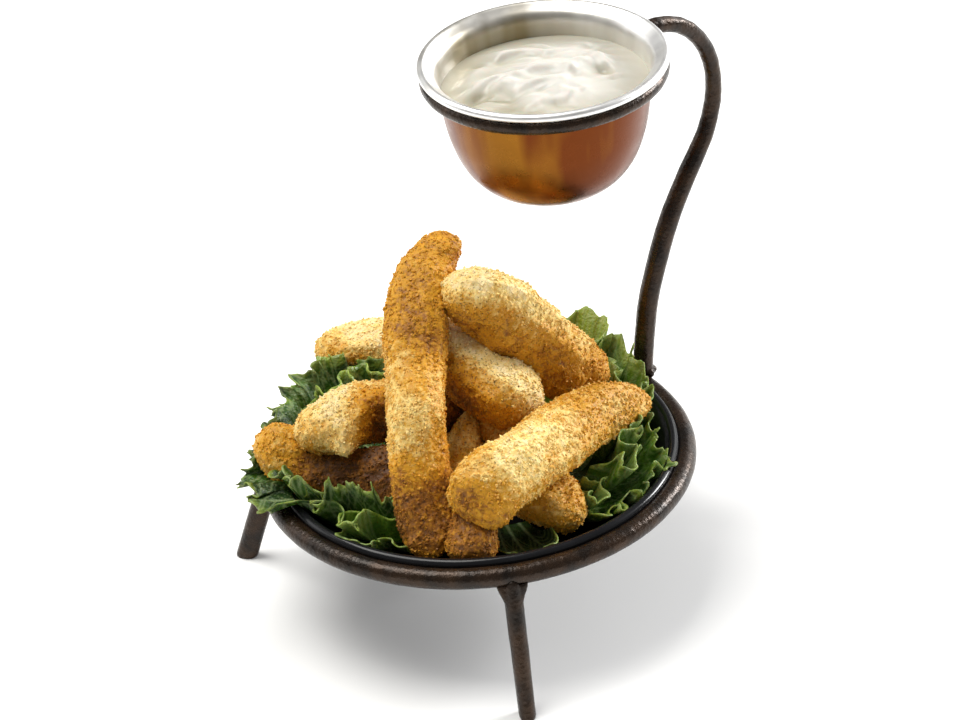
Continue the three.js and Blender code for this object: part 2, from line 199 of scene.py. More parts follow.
def spun(name: str, profile: Profile, axis: Vector, steps: int) -> bpy.types.Object:
    """Spin a profile round an upright axis.

    Args:
        name: Name of the new object.
        profile: Points as (radius, height), in metres.
        axis: A point of the axis.
        steps: Segments of the full turn.

    Returns:
        The turned object, with its seam and poles closed.
    """
    nothing_selected()
    radius, height = profile[0]
    bpy.ops.mesh.primitive_plane_add(size=MM, location=(axis.x + radius, axis.y, height))
    piece = bpy.context.object
    piece.name = name
    settle(piece)
    bpy.ops.object.mode_set(mode="EDIT")
    bpy.ops.mesh.select_all(action="SELECT")
    bpy.ops.mesh.merge(type="CENTER")
    for (radius, height), (next_radius, next_height) in zip(profile, profile[1:]):
        step = (next_radius - radius, 0, next_height - height)
        bpy.ops.mesh.extrude_region_move(TRANSFORM_OT_translate={"value": step})
    bpy.ops.mesh.select_all(action="SELECT")
    bpy.ops.mesh.spin(steps=steps, angle=2 * math.pi, center=(axis.x, axis.y, 0), axis=(0, 0, 1))
    bpy.ops.mesh.select_all(action="SELECT")
    bpy.ops.mesh.remove_doubles(threshold=MERGE)
    bpy.ops.mesh.normals_make_consistent(inside=False)
    bpy.ops.object.mode_set(mode="OBJECT")
    bpy.ops.object.shade_smooth()
    return piece


def bar_ring(name: str, centre: Vector, radius: float, bar: float,
             fine: float) -> bpy.types.Object:
    """A ring of round bar, with faces of about one size.

    Args:
        name: Name of the new object.
        centre: Middle of the ring.
        radius: From there to the middle of the bar.
        bar: Half the bar's thickness.
        fine: Size of its faces.

    Returns:
        The new object.
    """
    nothing_selected()
    bpy.ops.mesh.primitive_torus_add(
        location=centre, major_radius=radius, minor_radius=bar,
        major_segments=int(2 * math.pi * radius / fine),
        minor_segments=int(2 * math.pi * bar / fine),
    )
    piece = bpy.context.object
    piece.name = name
    settle(piece)
    bpy.ops.object.shade_smooth()
    return piece


def rounded_copy(node: str, name: str, voxel: float, passes: int,
                 swell: float) -> bpy.types.Object:
    """A fine, rounded copy of a faceted solid of the frame.

    Args:
        node: The solid to copy.
        name: Name of the new object.
        voxel: Size of its new faces, in metres.
        passes: How often its corners are smoothed.
        swell: How far its surface is then moved out again.

    Returns:
        The new object.
    """
    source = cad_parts[node]
    mesh = source.data.copy()
    mesh.transform(source.matrix_world)
    mesh.materials.clear()
    piece = bpy.data.objects.new(name, mesh)
    bpy.context.collection.objects.link(piece)
    work_on(piece)
    bpy.ops.object.mode_set(mode="EDIT")
    bpy.ops.mesh.select_all(action="SELECT")
    bpy.ops.mesh.remove_doubles(threshold=MERGE)
    bpy.ops.object.mode_set(mode="OBJECT")
    modified(piece, "REMESH", mode="VOXEL", voxel_size=voxel, use_smooth_shade=True)
    modified(piece, "SMOOTH", factor=0.5, iterations=passes)
    modified(piece, "DISPLACE", direction="NORMAL", mid_level=0.0, strength=swell)
    return piece


def middle_of(node: str) -> Vector:
    """The middle of a solid's box."""
    low, high = (Vector(corner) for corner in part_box(node))
    return (low + high) / 2


def handed_over(piece: bpy.types.Object, node: str, slot: Slot,
                *coats: bpy.types.Material) -> None:
    """Dress a finished piece and let it stand for its solid.

    Args:
        piece: The finished piece.
        node: The solid that it stands for.
        slot: Its material slot; not used.
        *coats: Its materials, in the order of their numbers on the faces.
    """
    piece.data.materials.clear()
    for coat in coats:
        piece.data.materials.append(coat)
    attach(piece, "root")
    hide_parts(node)
    LOG.info("%s: %d faces, for %s", piece.name, len(piece.data.polygons), node)


# ---- Paint: building materials from nodes -------------------------------------------

# Nearly all of a noise texture's values lie between these.
NOISE_RANGE: Range = (0.3, 0.7)
# Sockets of a Mix node that mixes colours.
MIX_SHARE, MIX_FIRST, MIX_SECOND, MIX_RESULT = 0, 6, 7, 2
# How much finer the speckle of the shared grain is than its cells.
FINER = 2.2


def grain_group() -> bpy.types.NodeTree:
    """The grain that crumb, iron and leaf share, built once.

    Its inputs are a place and the width of a grain in metres. It puts out a random tint
    for each grain, how far a point lies from its grain's middle, and a finer speckle.

    Returns:
        The node group.
    """
    group = bpy.data.node_groups.get("fine grain")
    if group is not None:
        return group
    group = bpy.data.node_groups.new("fine grain", "ShaderNodeTree")
    group.interface.new_socket("Place", in_out="INPUT", socket_type="NodeSocketVector")
    group.interface.new_socket("Width", in_out="INPUT", socket_type="NodeSocketFloat")
    for name in ("Tint", "Hollow", "Speckle"):
        group.interface.new_socket(name, in_out="OUTPUT", socket_type="NodeSocketFloat")
    paint = Paint("fine grain", group)
    given = paint.node("NodeGroupInput").outputs
    result = paint.node("NodeGroupOutput").inputs
    scale = paint.sum("POWER", given["Width"], -1)
    finer = paint.sum("MULTIPLY", scale, FINER)
    cells = paint.node("ShaderNodeTexVoronoi")
    noise = paint.node("ShaderNodeTexNoise")
    for texture, frequency in ((cells, scale), (noise, finer)):
        paint.join(given["Place"], texture.inputs["Vector"])
        paint.join(frequency, texture.inputs["Scale"])
    parts = paint.node("ShaderNodeSeparateColor")
    paint.join(cells.outputs["Color"], parts.inputs["Color"])
    paint.join(parts.outputs["Red"], result["Tint"])
    paint.join(cells.outputs["Distance"], result["Hollow"])
    paint.join(paint.span(noise.outputs["Fac"], *NOISE_RANGE), result["Speckle"])
    return group


class Paint:
    """A material while it is mixed: nodes on one side, its shader on the other."""

    def __init__(self, name: str, tree: bpy.types.NodeTree | None = None) -> None:
        """Start a material, or go on in a given node tree.

        Args:
            name: Name of a new material.
            tree: The tree to go on in, if there is one already.
        """
        self.material = None
        if tree is None:
            self.material = bpy.data.materials.new(name)
            self.material.use_nodes = True
            tree = self.material.node_tree
        self.tree = tree
        self.shader = tree.nodes.get("Principled BSDF")

    def node(self, kind: str, **settings: object) -> bpy.types.Node:
        """Add a node and set its properties.

        Args:
            kind: Blender's name of the node's type.
            **settings: The node's own properties.

        Returns:
            The new node.
        """
        node = self.tree.nodes.new(kind)
        for name, value in settings.items():
            setattr(node, name, value)
        return node

    def join(self, output: bpy.types.NodeSocket, target: bpy.types.NodeSocket) -> None:
        """Link an output to an input."""
        self.tree.links.new(output, target)

    def place(self) -> bpy.types.NodeSocket:
        """The object's own coordinates."""
        return self.node("ShaderNodeTexCoord").outputs["Object"]

    def clouds(self, width: float, detail: float = 3, rough: float = 0.5) -> bpy.types.NodeSocket:
        """Soft noise whose blots are about so wide, in metres.

        Args:
            width: How wide its blots are.
            detail: How many finer layers it has.
            rough: How strong the finer layers are.

        Returns:
            The noise, from 0 to 1.
        """
        node = self.node("ShaderNodeTexNoise")
        node.inputs["Scale"].default_value = 1 / width
        node.inputs["Detail"].default_value = detail
        node.inputs["Roughness"].default_value = rough
        self.join(self.place(), node.inputs["Vector"])
        return node.outputs["Fac"]

    def varied(self, width: float, low: float, high: float,
               **noise: float) -> bpy.types.NodeSocket:
        """Soft noise of a width, spread from a low to a high value."""
        return self.span(self.clouds(width, **noise), *NOISE_RANGE, low, high)

    def cells(self, width: float) -> bpy.types.NodeSocket:
        """Distance to the middle of cells that are about so wide, in metres.

        Args:
            width: How wide the cells are.

        Returns:
            The distance, in shares of a cell.
        """
        node = self.node("ShaderNodeTexVoronoi")
        node.inputs["Scale"].default_value = 1 / width
        self.join(self.place(), node.inputs["Vector"])
        return node.outputs["Distance"]

    def streaks(self, width: float, tallness: float) -> bpy.types.NodeSocket:
        """Soft noise drawn out upwards: so wide, in metres, and so many times taller.

        Args:
            width: How wide a streak is, in metres.
            tallness: How many times taller it is than wide.

        Returns:
            The noise, from 0 to 1.
        """
        mapping = self.node("ShaderNodeMapping")
        mapping.inputs["Scale"].default_value = (1, 1, 1 / tallness)
        self.join(self.place(), mapping.inputs["Vector"])
        node = self.node("ShaderNodeTexNoise")
        node.inputs["Scale"].default_value = 1 / width
        self.join(mapping.outputs["Vector"], node.inputs["Vector"])
        return node.outputs["Fac"]

    def grain(self, width: float) -> bpy.types.bpy_prop_collection:
        """The shared grain at a width in metres: its Tint, Hollow and Speckle.

        Args:
            width: How wide a grain is, in metres.

        Returns:
            The group's outputs by name.
        """
        node = self.node("ShaderNodeGroup", node_tree=grain_group())
        node.inputs["Width"].default_value = width
        self.join(self.place(), node.inputs["Place"])
        return node.outputs

    def attribute(self, name: str) -> bpy.types.NodeSocket:
        """A number that the mesh carries."""
        return self.node("ShaderNodeAttribute", attribute_name=name).outputs["Fac"]

    def span(self, value: bpy.types.NodeSocket, low: float, high: float,
             to_low: float = 0, to_high: float = 1) -> bpy.types.NodeSocket:
        """A range of a value stretched over another range, and held there.

        Args:
            value: What is stretched.
            low: Where its range starts.
            high: Where its range ends.
            to_low: What the start becomes.
            to_high: What the end becomes.

        Returns:
            The stretched value.
        """
        node = self.node("ShaderNodeMapRange", clamp=True)
        for name, number in zip(("From Min", "From Max", "To Min", "To Max"),
                                (low, high, to_low, to_high)):
            node.inputs[name].default_value = number
        self.join(value, node.inputs["Value"])
        return node.outputs["Result"]

    def sum(self, kind: str, first: bpy.types.NodeSocket,
            second: bpy.types.NodeSocket | float) -> bpy.types.NodeSocket:
        """A sum, product or other operation on two values.

        Args:
            kind: Blender's name of the operation.
            first: A value or an output.
            second: Another one.

        Returns:
            The result.
        """
        node = self.node("ShaderNodeMath", operation=kind)
        self.join(first, node.inputs[0])
        if isinstance(second, (int, float)):
            node.inputs[1].default_value = second
        else:
            self.join(second, node.inputs[1])
        return node.outputs[0]

    def blend(self, share: bpy.types.NodeSocket, first: bpy.types.NodeSocket | Colour,
              second: bpy.types.NodeSocket | Colour) -> bpy.types.NodeSocket:
        """Two colours mixed by a share.

        Args:
            share: How much of the second colour there is.
            first: A colour or an output.
            second: Another one.

        Returns:
            The mixed colour.
        """
        node = self.node("ShaderNodeMix", data_type="RGBA")
        self.join(share, node.inputs[MIX_SHARE])
        for colour, socket in ((first, node.inputs[MIX_FIRST]),
                               (second, node.inputs[MIX_SECOND])):
            if isinstance(colour, tuple):
                socket.default_value = (*colour, 1)
            else:
                self.join(colour, socket)
        return node.outputs[MIX_RESULT]

    def covered(self, colour: bpy.types.NodeSocket, roughness: bpy.types.NodeSocket) -> None:
        """Give the shader its colour and its roughness."""
        self.join(colour, self.shader.inputs["Base Color"])
        self.join(roughness, self.shader.inputs["Roughness"])

    def rippled(self, ripple: Ripple) -> None:
        """Make the surface softly uneven."""
        self.bumped(self.clouds(ripple.width), ripple.depth, ripple.sharpness)

    def bumped(self, height: bpy.types.NodeSocket, distance: float, strength: float) -> None:
        """Drive the shader's normal from a height.

        Args:
            height: The height, as a share of the distance.
            distance: How high 1 stands, in metres.
            strength: How strongly it shows, up to 1.
        """
        node = self.node("ShaderNodeBump")
        node.inputs["Distance"].default_value = distance
        node.inputs["Strength"].default_value = strength
        self.join(height, node.inputs["Height"])
        self.join(node.outputs["Normal"], self.shader.inputs["Normal"])

    def constants(self, **values: float | Colour) -> None:
        """Set numbers and colours that are the same all over on the shader itself."""
        for name, value in values.items():
            socket = self.shader.inputs[name.replace("_", " ")]
            socket.default_value = (*value, 1) if isinstance(value, tuple) else value


# ---- Finishes -----------------------------------------------------------------------


@dataclass(frozen=True)
class HammeredIron:
    """Forged bar: dark bronze-brown, hammered, with a fine speckled sheen."""

    dark: Colour = (0.01, 0.0055, 0.0026)
    warm: Colour = (0.042, 0.021, 0.009)
    patch: float = 9 * MM
    patch_range: Range = (0.35, 0.68)
    dimple: float = 1.7 * MM
    speckle: float = 0.9 * MM
    speckle_height: float = 0.22
    depth: float = 0.17 * MM
    sharpness: float = 0.8
    roughness: Range = (0.15, 0.42)

    def mixed(self) -> bpy.types.Material:
        """Build the material."""
        paint = Paint("hammered iron")
        patches = paint.span(paint.clouds(self.patch), *self.patch_range)
        speckle = paint.grain(self.speckle)["Speckle"]
        paint.covered(paint.blend(patches, self.dark, self.warm),
                      paint.span(speckle, 0, 1, *self.roughness))
        raised = paint.sum("MULTIPLY", speckle, self.speckle_height)
        height = paint.sum("ADD", raised, paint.cells(self.dimple))
        paint.bumped(height, self.depth, self.sharpness)
        paint.constants(Metallic=0.5, Specular_IOR_Level=0.5)
        return paint.material


@dataclass(frozen=True)
class BlackEnamel:
    """Glossy black enamel with a faint blue cast and fine wipe marks."""

    black: Colour = (0.004, 0.0042, 0.005)
    grey: Colour = (0.009, 0.0092, 0.011)
    wipe_mark: float = 14 * MM
    roughness: Range = (0.14, 0.26)
    ripple: Ripple = Ripple(5 * MM, 0.05 * MM, 0.4)

    def mixed(self) -> bpy.types.Material:
        """Build the material."""
        paint = Paint("black enamel")
        marks = paint.clouds(self.wipe_mark, detail=5)
        paint.covered(paint.blend(marks, self.black, self.grey),
                      paint.span(marks, *NOISE_RANGE, *self.roughness))
        paint.rippled(self.ripple)
        paint.constants(Specular_IOR_Level=0.27)
        return paint.material


@dataclass(frozen=True)
class CupMetal:
    """Polished cup metal, softly brushed, with painted reflections in upright streaks and one
    painted darker side: on the copper everywhere but a painted golden reflection, on the
    steel painted shade at the back.

    The number that the mesh carries under the name of `darkened_by` says where that
    side is, and `darkened` how strongly it shows.
    """

    name: str
    light: Colour
    deep: Colour
    roughness: Range
    darkened_by: str
    darkened: float
    streaked: float
    band: float = 13 * MM
    band_tallness: float = 9
    band_range: Range = (0.36, 0.64)
    smear: float = 6 * MM
    ripple: Ripple = Ripple(1.2 * MM, 0.03 * MM, 0.5)

    def mixed(self) -> bpy.types.Material:
        """Build the material."""
        paint = Paint(self.name)
        # Painted reflections: the upright streaks, and the side that darkened_by names, darken the
        # metal's colour.
        streaks = paint.span(paint.streaks(self.band, self.band_tallness), *self.band_range,
                             -self.streaked, self.streaked)
        side = paint.sum("MULTIPLY", paint.attribute(self.darkened_by), self.darkened)
        depth = paint.span(paint.sum("ADD", streaks, side), 0, 1)
        paint.covered(paint.blend(depth, self.light, self.deep),
                      paint.varied(self.smear, *self.roughness))
        paint.rippled(self.ripple)
        paint.constants(Metallic=1.0)
        return paint.material


# The copper is golden where it carries a painted reflection, and darker elsewhere.
COPPER = CupMetal("copper", light=(0.27, 0.11, 0.014), deep=(0.135, 0.035, 0.009),
                  roughness=(0.24, 0.34), darkened_by="patina", darkened=1, streaked=0.5)
# The steel's deep colour is painted shade at the back of the cup.
STEEL = CupMetal("cup steel", light=(0.92, 0.915, 0.9), deep=(0.26, 0.215, 0.125),
                 roughness=(0.36, 0.46), darkened_by="dullness", darkened=0.95, streaked=0.12)


@dataclass(frozen=True)
class CreamyDip:
    """Thick white dip, darker and a little yellow in its hollows, where painted shade lies."""

    cream: Colour = (0.6, 0.58, 0.53)
    hollow: Colour = (0.38, 0.35, 0.26)
    rise_range: Range = (0.2, 0.7)
    cloud: float = 7 * MM
    cloud_range: Range = (0.2, 0.5)
    clouding: Range = (0.7, 1)
    smear: float = 3 * MM
    roughness: Range = (0.3, 0.45)
    ripple: Ripple = Ripple(2 * MM, 0.1 * MM, 0.5)

    def mixed(self) -> bpy.types.Material:
        """Build the material."""
        paint = Paint("creamy dip")
        rise = paint.span(paint.attribute("rise"), *self.rise_range)
        clouds = paint.span(paint.clouds(self.cloud), *self.cloud_range, *self.clouding)
        # The low parts of the folds are given the darker colour as painted shade.
        paint.covered(paint.blend(paint.sum("MULTIPLY", rise, clouds), self.hollow, self.cream),
                      paint.varied(self.smear, *self.roughness))
        paint.rippled(self.ripple)
        paint.constants(Subsurface_Weight=0.2, Subsurface_Scale=3 * MM)
        return paint.material


@dataclass(frozen=True)
class FriedCrumb:
    """Golden fried crumb with dark specks: paler on its crests and darker in its hollows as
    painted light and shade, browner where toasted and where painted shade lies, and paler
    where painted light lies.

    The ranges are spans of the crust's tone, which is gold at 0, paler above it and
    darker below it.
    """

    gold: Colour = (0.65, 0.308, 0.0125)
    pale: Colour = (0.9, 0.655, 0.22)
    # Cream is mostly a painted highlight; brown is real browning and painted shade; the deepest
    # brown is mostly painted shadow.
    cream: Colour = (0.925, 0.76, 0.425)
    brown: Colour = (0.34, 0.125, 0.005)
    char: Colour = (0.1, 0.034, 0.004)
    speck: Colour = (0.15, 0.075, 0.014)
    pale_range: Range = (0.1, 1.1)
    cream_range: Range = (1.05, 2.1)
    brown_range: Range = (-0.3, -1.1)
    char_range: Range = (-1.0, -2.0)
    patch: float = 9 * MM
    patch_tone: float = 0.35
    mottle: float = 2.6 * MM
    mottle_tone: float = 0.38
    grain: float = 0.8 * MM
    grain_tone: Range = (-0.1, 0.2)
    # Crests paler and the hollows between crumbs darker: painted light and shade.
    crest_range: Range = (0.1, 0.9)
    crest_tone: float = 0.4
    speck_width: float = 0.85 * MM
    speck_range: Range = (0.65, 0.7)
    speck_share: float = 0.85
    herb_shift: float = 0.07
    worn_range: Range = (0.2, 0.8)
    roughness: Range = (0.4, 0.62)
    sand_depth: float = 0.1 * MM
    sand_sharpness: float = 0.7

    def tone(self, paint: Paint, tint: bpy.types.NodeSocket,
             crag: bpy.types.NodeSocket) -> bpy.types.NodeSocket:
        """How pale the crust is, from its patches and grains, from painted light on its crests and
        painted shade in its hollows, and from toasting with its painted shade and light.

        Args:
            paint: The material while it is mixed.
            tint: A random number for each grain.
            crag: How high a point stands among its crumbs.

        Returns:
            The tone: 0 is gold, above it is paler and below it darker.
        """
        tone = paint.varied(self.patch, -self.patch_tone, self.patch_tone, detail=2)
        for part in (
            paint.varied(self.mottle, -self.mottle_tone, self.mottle_tone, detail=4, rough=0.7),
            paint.span(tint, 0, 1, *self.grain_tone),
            # Painted light on the crests and painted shade in the hollows.
            paint.span(crag, *self.crest_range, -self.crest_tone, self.crest_tone),
        ):
            tone = paint.sum("ADD", tone, part)
        return paint.sum("SUBTRACT", tone, paint.attribute("toast"))

    def mixed(self) -> bpy.types.Material:
        """Build the material."""
        paint = Paint("fried crumb")
        grain = paint.grain(self.grain)
        crag = paint.attribute("crag")
        tone = self.tone(paint, grain["Tint"], crag)
        colour = paint.blend(paint.span(tone, *self.pale_range), self.gold, self.pale)
        # Cream mostly paints highlights, brown partly paints shade, and the deepest brown mostly
        # paints shadow.
        for span, darker_or_paler in ((self.cream_range, self.cream),
                                      (self.brown_range, self.brown),
                                      (self.char_range, self.char)):
            colour = paint.blend(paint.span(tone, *span), colour, darker_or_paler)
        denser = paint.span(paint.attribute("herbs"), -1, 1, -self.herb_shift, self.herb_shift)
        herbs = paint.sum("ADD", paint.clouds(self.speck_width, detail=2, rough=0.6), denser)
        herbs = paint.span(herbs, *self.speck_range, 0, self.speck_share)
        paint.covered(paint.blend(herbs, colour, self.speck),
                      paint.span(crag, *self.worn_range, *self.roughness))
        sand = paint.sum("ADD", grain["Speckle"], grain["Tint"])
        paint.bumped(sand, self.sand_depth, self.sand_sharpness)
        paint.constants(Specular_IOR_Level=0.36, Subsurface_Weight=0.08,
                        Subsurface_Scale=1.2 * MM, Sheen_Weight=0.1, Sheen_Roughness=0.4,
                        Sheen_Tint=(1, 0.84, 0.45))
        return paint.material


@dataclass(frozen=True)
class LettuceSkin:
    """Crisp green leaf: pale ribs, a light frilled rim that is partly painted light shining
    through, darker between the veins; painted light makes some fronds paler and painted shade
    others darker.
    """

    deep: Colour = (0.014, 0.042, 0.004)
    fresh: Colour = (0.07, 0.17, 0.011)
    bright: Colour = (0.28, 0.38, 0.045)
    rim: Colour = (0.34, 0.44, 0.06)
    rib: Colour = (0.42, 0.52, 0.24)
    patch: float = 11 * MM
    patch_range: Range = (0.34, 0.66)
    bright_range: Range = (0.8, 1.9)
    rim_range: Range = (0.86, 1)
    rim_patch: float = 5 * MM
    rim_patch_range: Range = (0.35, 0.65)
    rim_patch_tone: Range = (-0.6, 0.1)
    rim_share: float = 0.7
    rib_share: float = 0.8
    smear: float = 4 * MM
    roughness: Range = (0.28, 0.5)
    blister: float = 2.4 * MM
    blister_depth: float = 0.35 * MM
    blister_sharpness: float = 0.7

    def mixed(self) -> bpy.types.Material:
        """Build the material."""
        paint = Paint("lettuce")
        tone = paint.span(paint.clouds(self.patch, detail=4, rough=0.55), *self.patch_range)
        # Each frond's painted light and shade shifts its green.
        tone = paint.sum("ADD", tone, paint.attribute("light"))
        colour = paint.blend(paint.span(tone, 0, 1), self.deep, self.fresh)
        # The bright yellow-green is painted light shining through the most lit fronds.
        colour = paint.blend(paint.span(tone, *self.bright_range), colour, self.bright)
        # The pale rim is partly the leaf's own colour and partly painted light shining through its
        # thin edge.
        patches = paint.span(paint.clouds(self.rim_patch), *self.rim_patch_range,
                             *self.rim_patch_tone)
        edge = paint.sum("ADD", paint.span(paint.attribute("rim"), *self.rim_range), patches)
        colour = paint.blend(paint.span(edge, 0.2, 1, 0, self.rim_share), colour, self.rim)
        ribs = paint.span(paint.attribute("rib"), 0.15, 1, 0, self.rib_share)
        paint.covered(paint.blend(ribs, colour, self.rib),
                      paint.varied(self.smear, *self.roughness))
        blisters = paint.grain(self.blister)
        paint.bumped(paint.sum("ADD", blisters["Hollow"], blisters["Speckle"]),
                     self.blister_depth, self.blister_sharpness)
        paint.constants(Specular_IOR_Level=0.38, Subsurface_Weight=0.1,
                        Subsurface_Scale=1.5 * MM)
        return paint.material


@dataclass(frozen=True)
class PaleFloor:
    """Plain pale studio paper."""

    light: Colour = (0.95, 0.95, 0.945)
    shade: Colour = (0.93, 0.93, 0.925)
    patch: float = 0.4

    def mixed(self) -> bpy.types.Material:
        """Build the material."""
        paint = Paint("pale floor")
        colour = paint.blend(paint.clouds(self.patch, detail=2), self.light, self.shade)
        paint.join(colour, paint.shader.inputs["Base Color"])
        paint.constants(Roughness=0.9)
        return paint.material


# ---- Stand --------------------------------------------------------------------------


@dataclass
class Stand:
    """The iron stand: plate ring, three legs, arm and the ring that holds the cup."""

    ring_bar: float = 4 * MM
    cup_ring_bar: float = 2.8 * MM
    grain: float = 0.8 * MM
    voxel: float = 0.5 * MM
    passes: int = 14
    close_up: float = 0.35 * MM
    hammering: tuple[Relief, ...] = (Relief(Grain.CLOUDS, 11 * MM, 0.3 * MM),)

    def ring(self, node: str, bar: float) -> bpy.types.Object:
        """One of the two rings, hammered.

        Args:
            node: The ring of the frame.
            bar: Half its bar's thickness.

        Returns:
            The new ring.
        """
        low, high = (Vector(corner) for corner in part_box(node))
        radius = (high.x - low.x) / 2 - bar
        piece = bar_ring(f"hammered_{node}", (low + high) / 2, radius, bar, self.grain)
        relieved(piece, self.hammering)
        return piece

    def rod(self, node: str) -> bpy.types.Object:
        """A leg or the arm, rounded, hammered, grown until its welds close, feet flat.

        Args:
            node: The leg or arm of the frame.

        Returns:
            The new rod.
        """
        piece = rounded_copy(node, f"hammered_{node}", self.voxel, self.passes, self.close_up)
        relieved(piece, self.hammering)
        points = places(piece)
        points[:, 2] = np.maximum(points[:, 2], 0)
        placed(piece, points)
        return piece

    def build(self, iron: bpy.types.Material) -> None:
        """Make and dress every piece of the stand.

        Args:
            iron: What it is made of.
        """
        for node, bar in (("plate_ring", self.ring_bar), ("cup_ring", self.cup_ring_bar)):
            handed_over(self.ring(node, bar), node, Slot.IRON, iron)
        for node in ("leg_front", "leg_left", "leg_back", "arm"):
            handed_over(self.rod(node), node, Slot.IRON, iron)


# ---- Plate --------------------------------------------------------------------------


def bend(centre: tuple[float, float], radius: float, start: float, end: float,
         steps: int = 18) -> list[tuple[float, float]]:
    """Points of an arc of a profile, from one angle to another in degrees."""
    angles = np.radians(np.linspace(start, end, steps + 1))
    return [(centre[0] + radius * math.cos(a), centre[1] + radius * math.sin(a)) for a in angles]


@dataclass
class Plate:
    """The shallow black plate with its rolled lip."""

    lip_radius: float = 75.4 * MM
    lip_height: float = 56.2 * MM
    lip_roll: float = 2 * MM
    lip_arc: Range = (-130, 180)
    floor_radius: float = 50 * MM
    floor_height: float = 42.5 * MM
    thickness: float = 2 * MM
    wall_power: float = 2.2
    wall_points: int = 16
    points_under_lip: int = 3
    segments: int = 220

    def wall(self) -> list[tuple[float, float]]:
        """The inside from the edge of the floor up to the lip."""
        inner = self.lip_radius - self.lip_roll
        shares = np.linspace(0, 1, self.wall_points)
        rise = self.lip_height - self.floor_height
        return [(self.floor_radius + (inner - self.floor_radius) * s,
                 self.floor_height + rise * s ** self.wall_power) for s in shares]

    def build(self, enamel: bpy.types.Material) -> None:
        """Spin the plate and dress it.

        Args:
            enamel: What it is coated with.
        """
        inside = self.wall()
        outside = [(radius + self.thickness / 2, height - self.thickness)
                   for radius, height in inside[:-self.points_under_lip]]
        lip = bend((self.lip_radius, self.lip_height), self.lip_roll, *self.lip_arc)
        profile = [(0, self.floor_height - self.thickness), *outside, *lip,
                   *reversed(inside[:-1]), (0, self.floor_height)]
        piece = spun("enamel_plate", profile, middle_of("plate"), self.segments)
        handed_over(piece, "plate", Slot.ENAMEL, enamel)


# ---- Cup of dip ---------------------------------------------------------------------


@dataclass(frozen=True)
class Folds:
    """The folds that a spoon leaves in the dip: how many, how big and how they lie.

    Spread is where their middles lie, in shares of the dip's radius, and turn is their
    direction in radians. Every other fold is smaller by the share `small`.
    """

    count: int = 52
    seed: int = 11
    spread: Range = (-0.65, 0.75)
    turn: Range = (-0.9, 0.7)
    length: Range = (7 * MM, 17 * MM)
    width: Range = (1.6 * MM, 3.2 * MM)
    height: Range = (0.9 * MM, 2.1 * MM)
    small: float = 0.5
    curl: float = 0.03 / MM
    reach: float = 2.5

    def raised(self, across: np.ndarray, along: np.ndarray, radius: float) -> np.ndarray:
        """Height of all folds together at places across and along the dip.

        Args:
            across: Places from the dip's middle towards the right, in metres.
            along: The same places, towards the back.
            radius: Radius of the dip.

        Returns:
            The height at each place, in metres.
        """
        rng = np.random.default_rng(self.seed)
        height = np.zeros_like(across)
        for i in range(self.count):
            share = 1.0 if i % 2 else self.small
            x, y = rng.uniform(*self.spread, 2) * radius
            turn = rng.uniform(*self.turn)
            length = share * rng.uniform(*self.length)
            width = share * rng.uniform(*self.width)
            u = (across - x) * math.cos(turn) + (along - y) * math.sin(turn)
            v = (along - y) * math.cos(turn) - (across - x) * math.sin(turn) + self.curl * u ** 2
            crest = np.exp(-((u / length) ** 2) - (v / (self.reach * width)) ** 2)
            height += share * rng.uniform(*self.height) * crest * np.tanh(v / width)
        return height


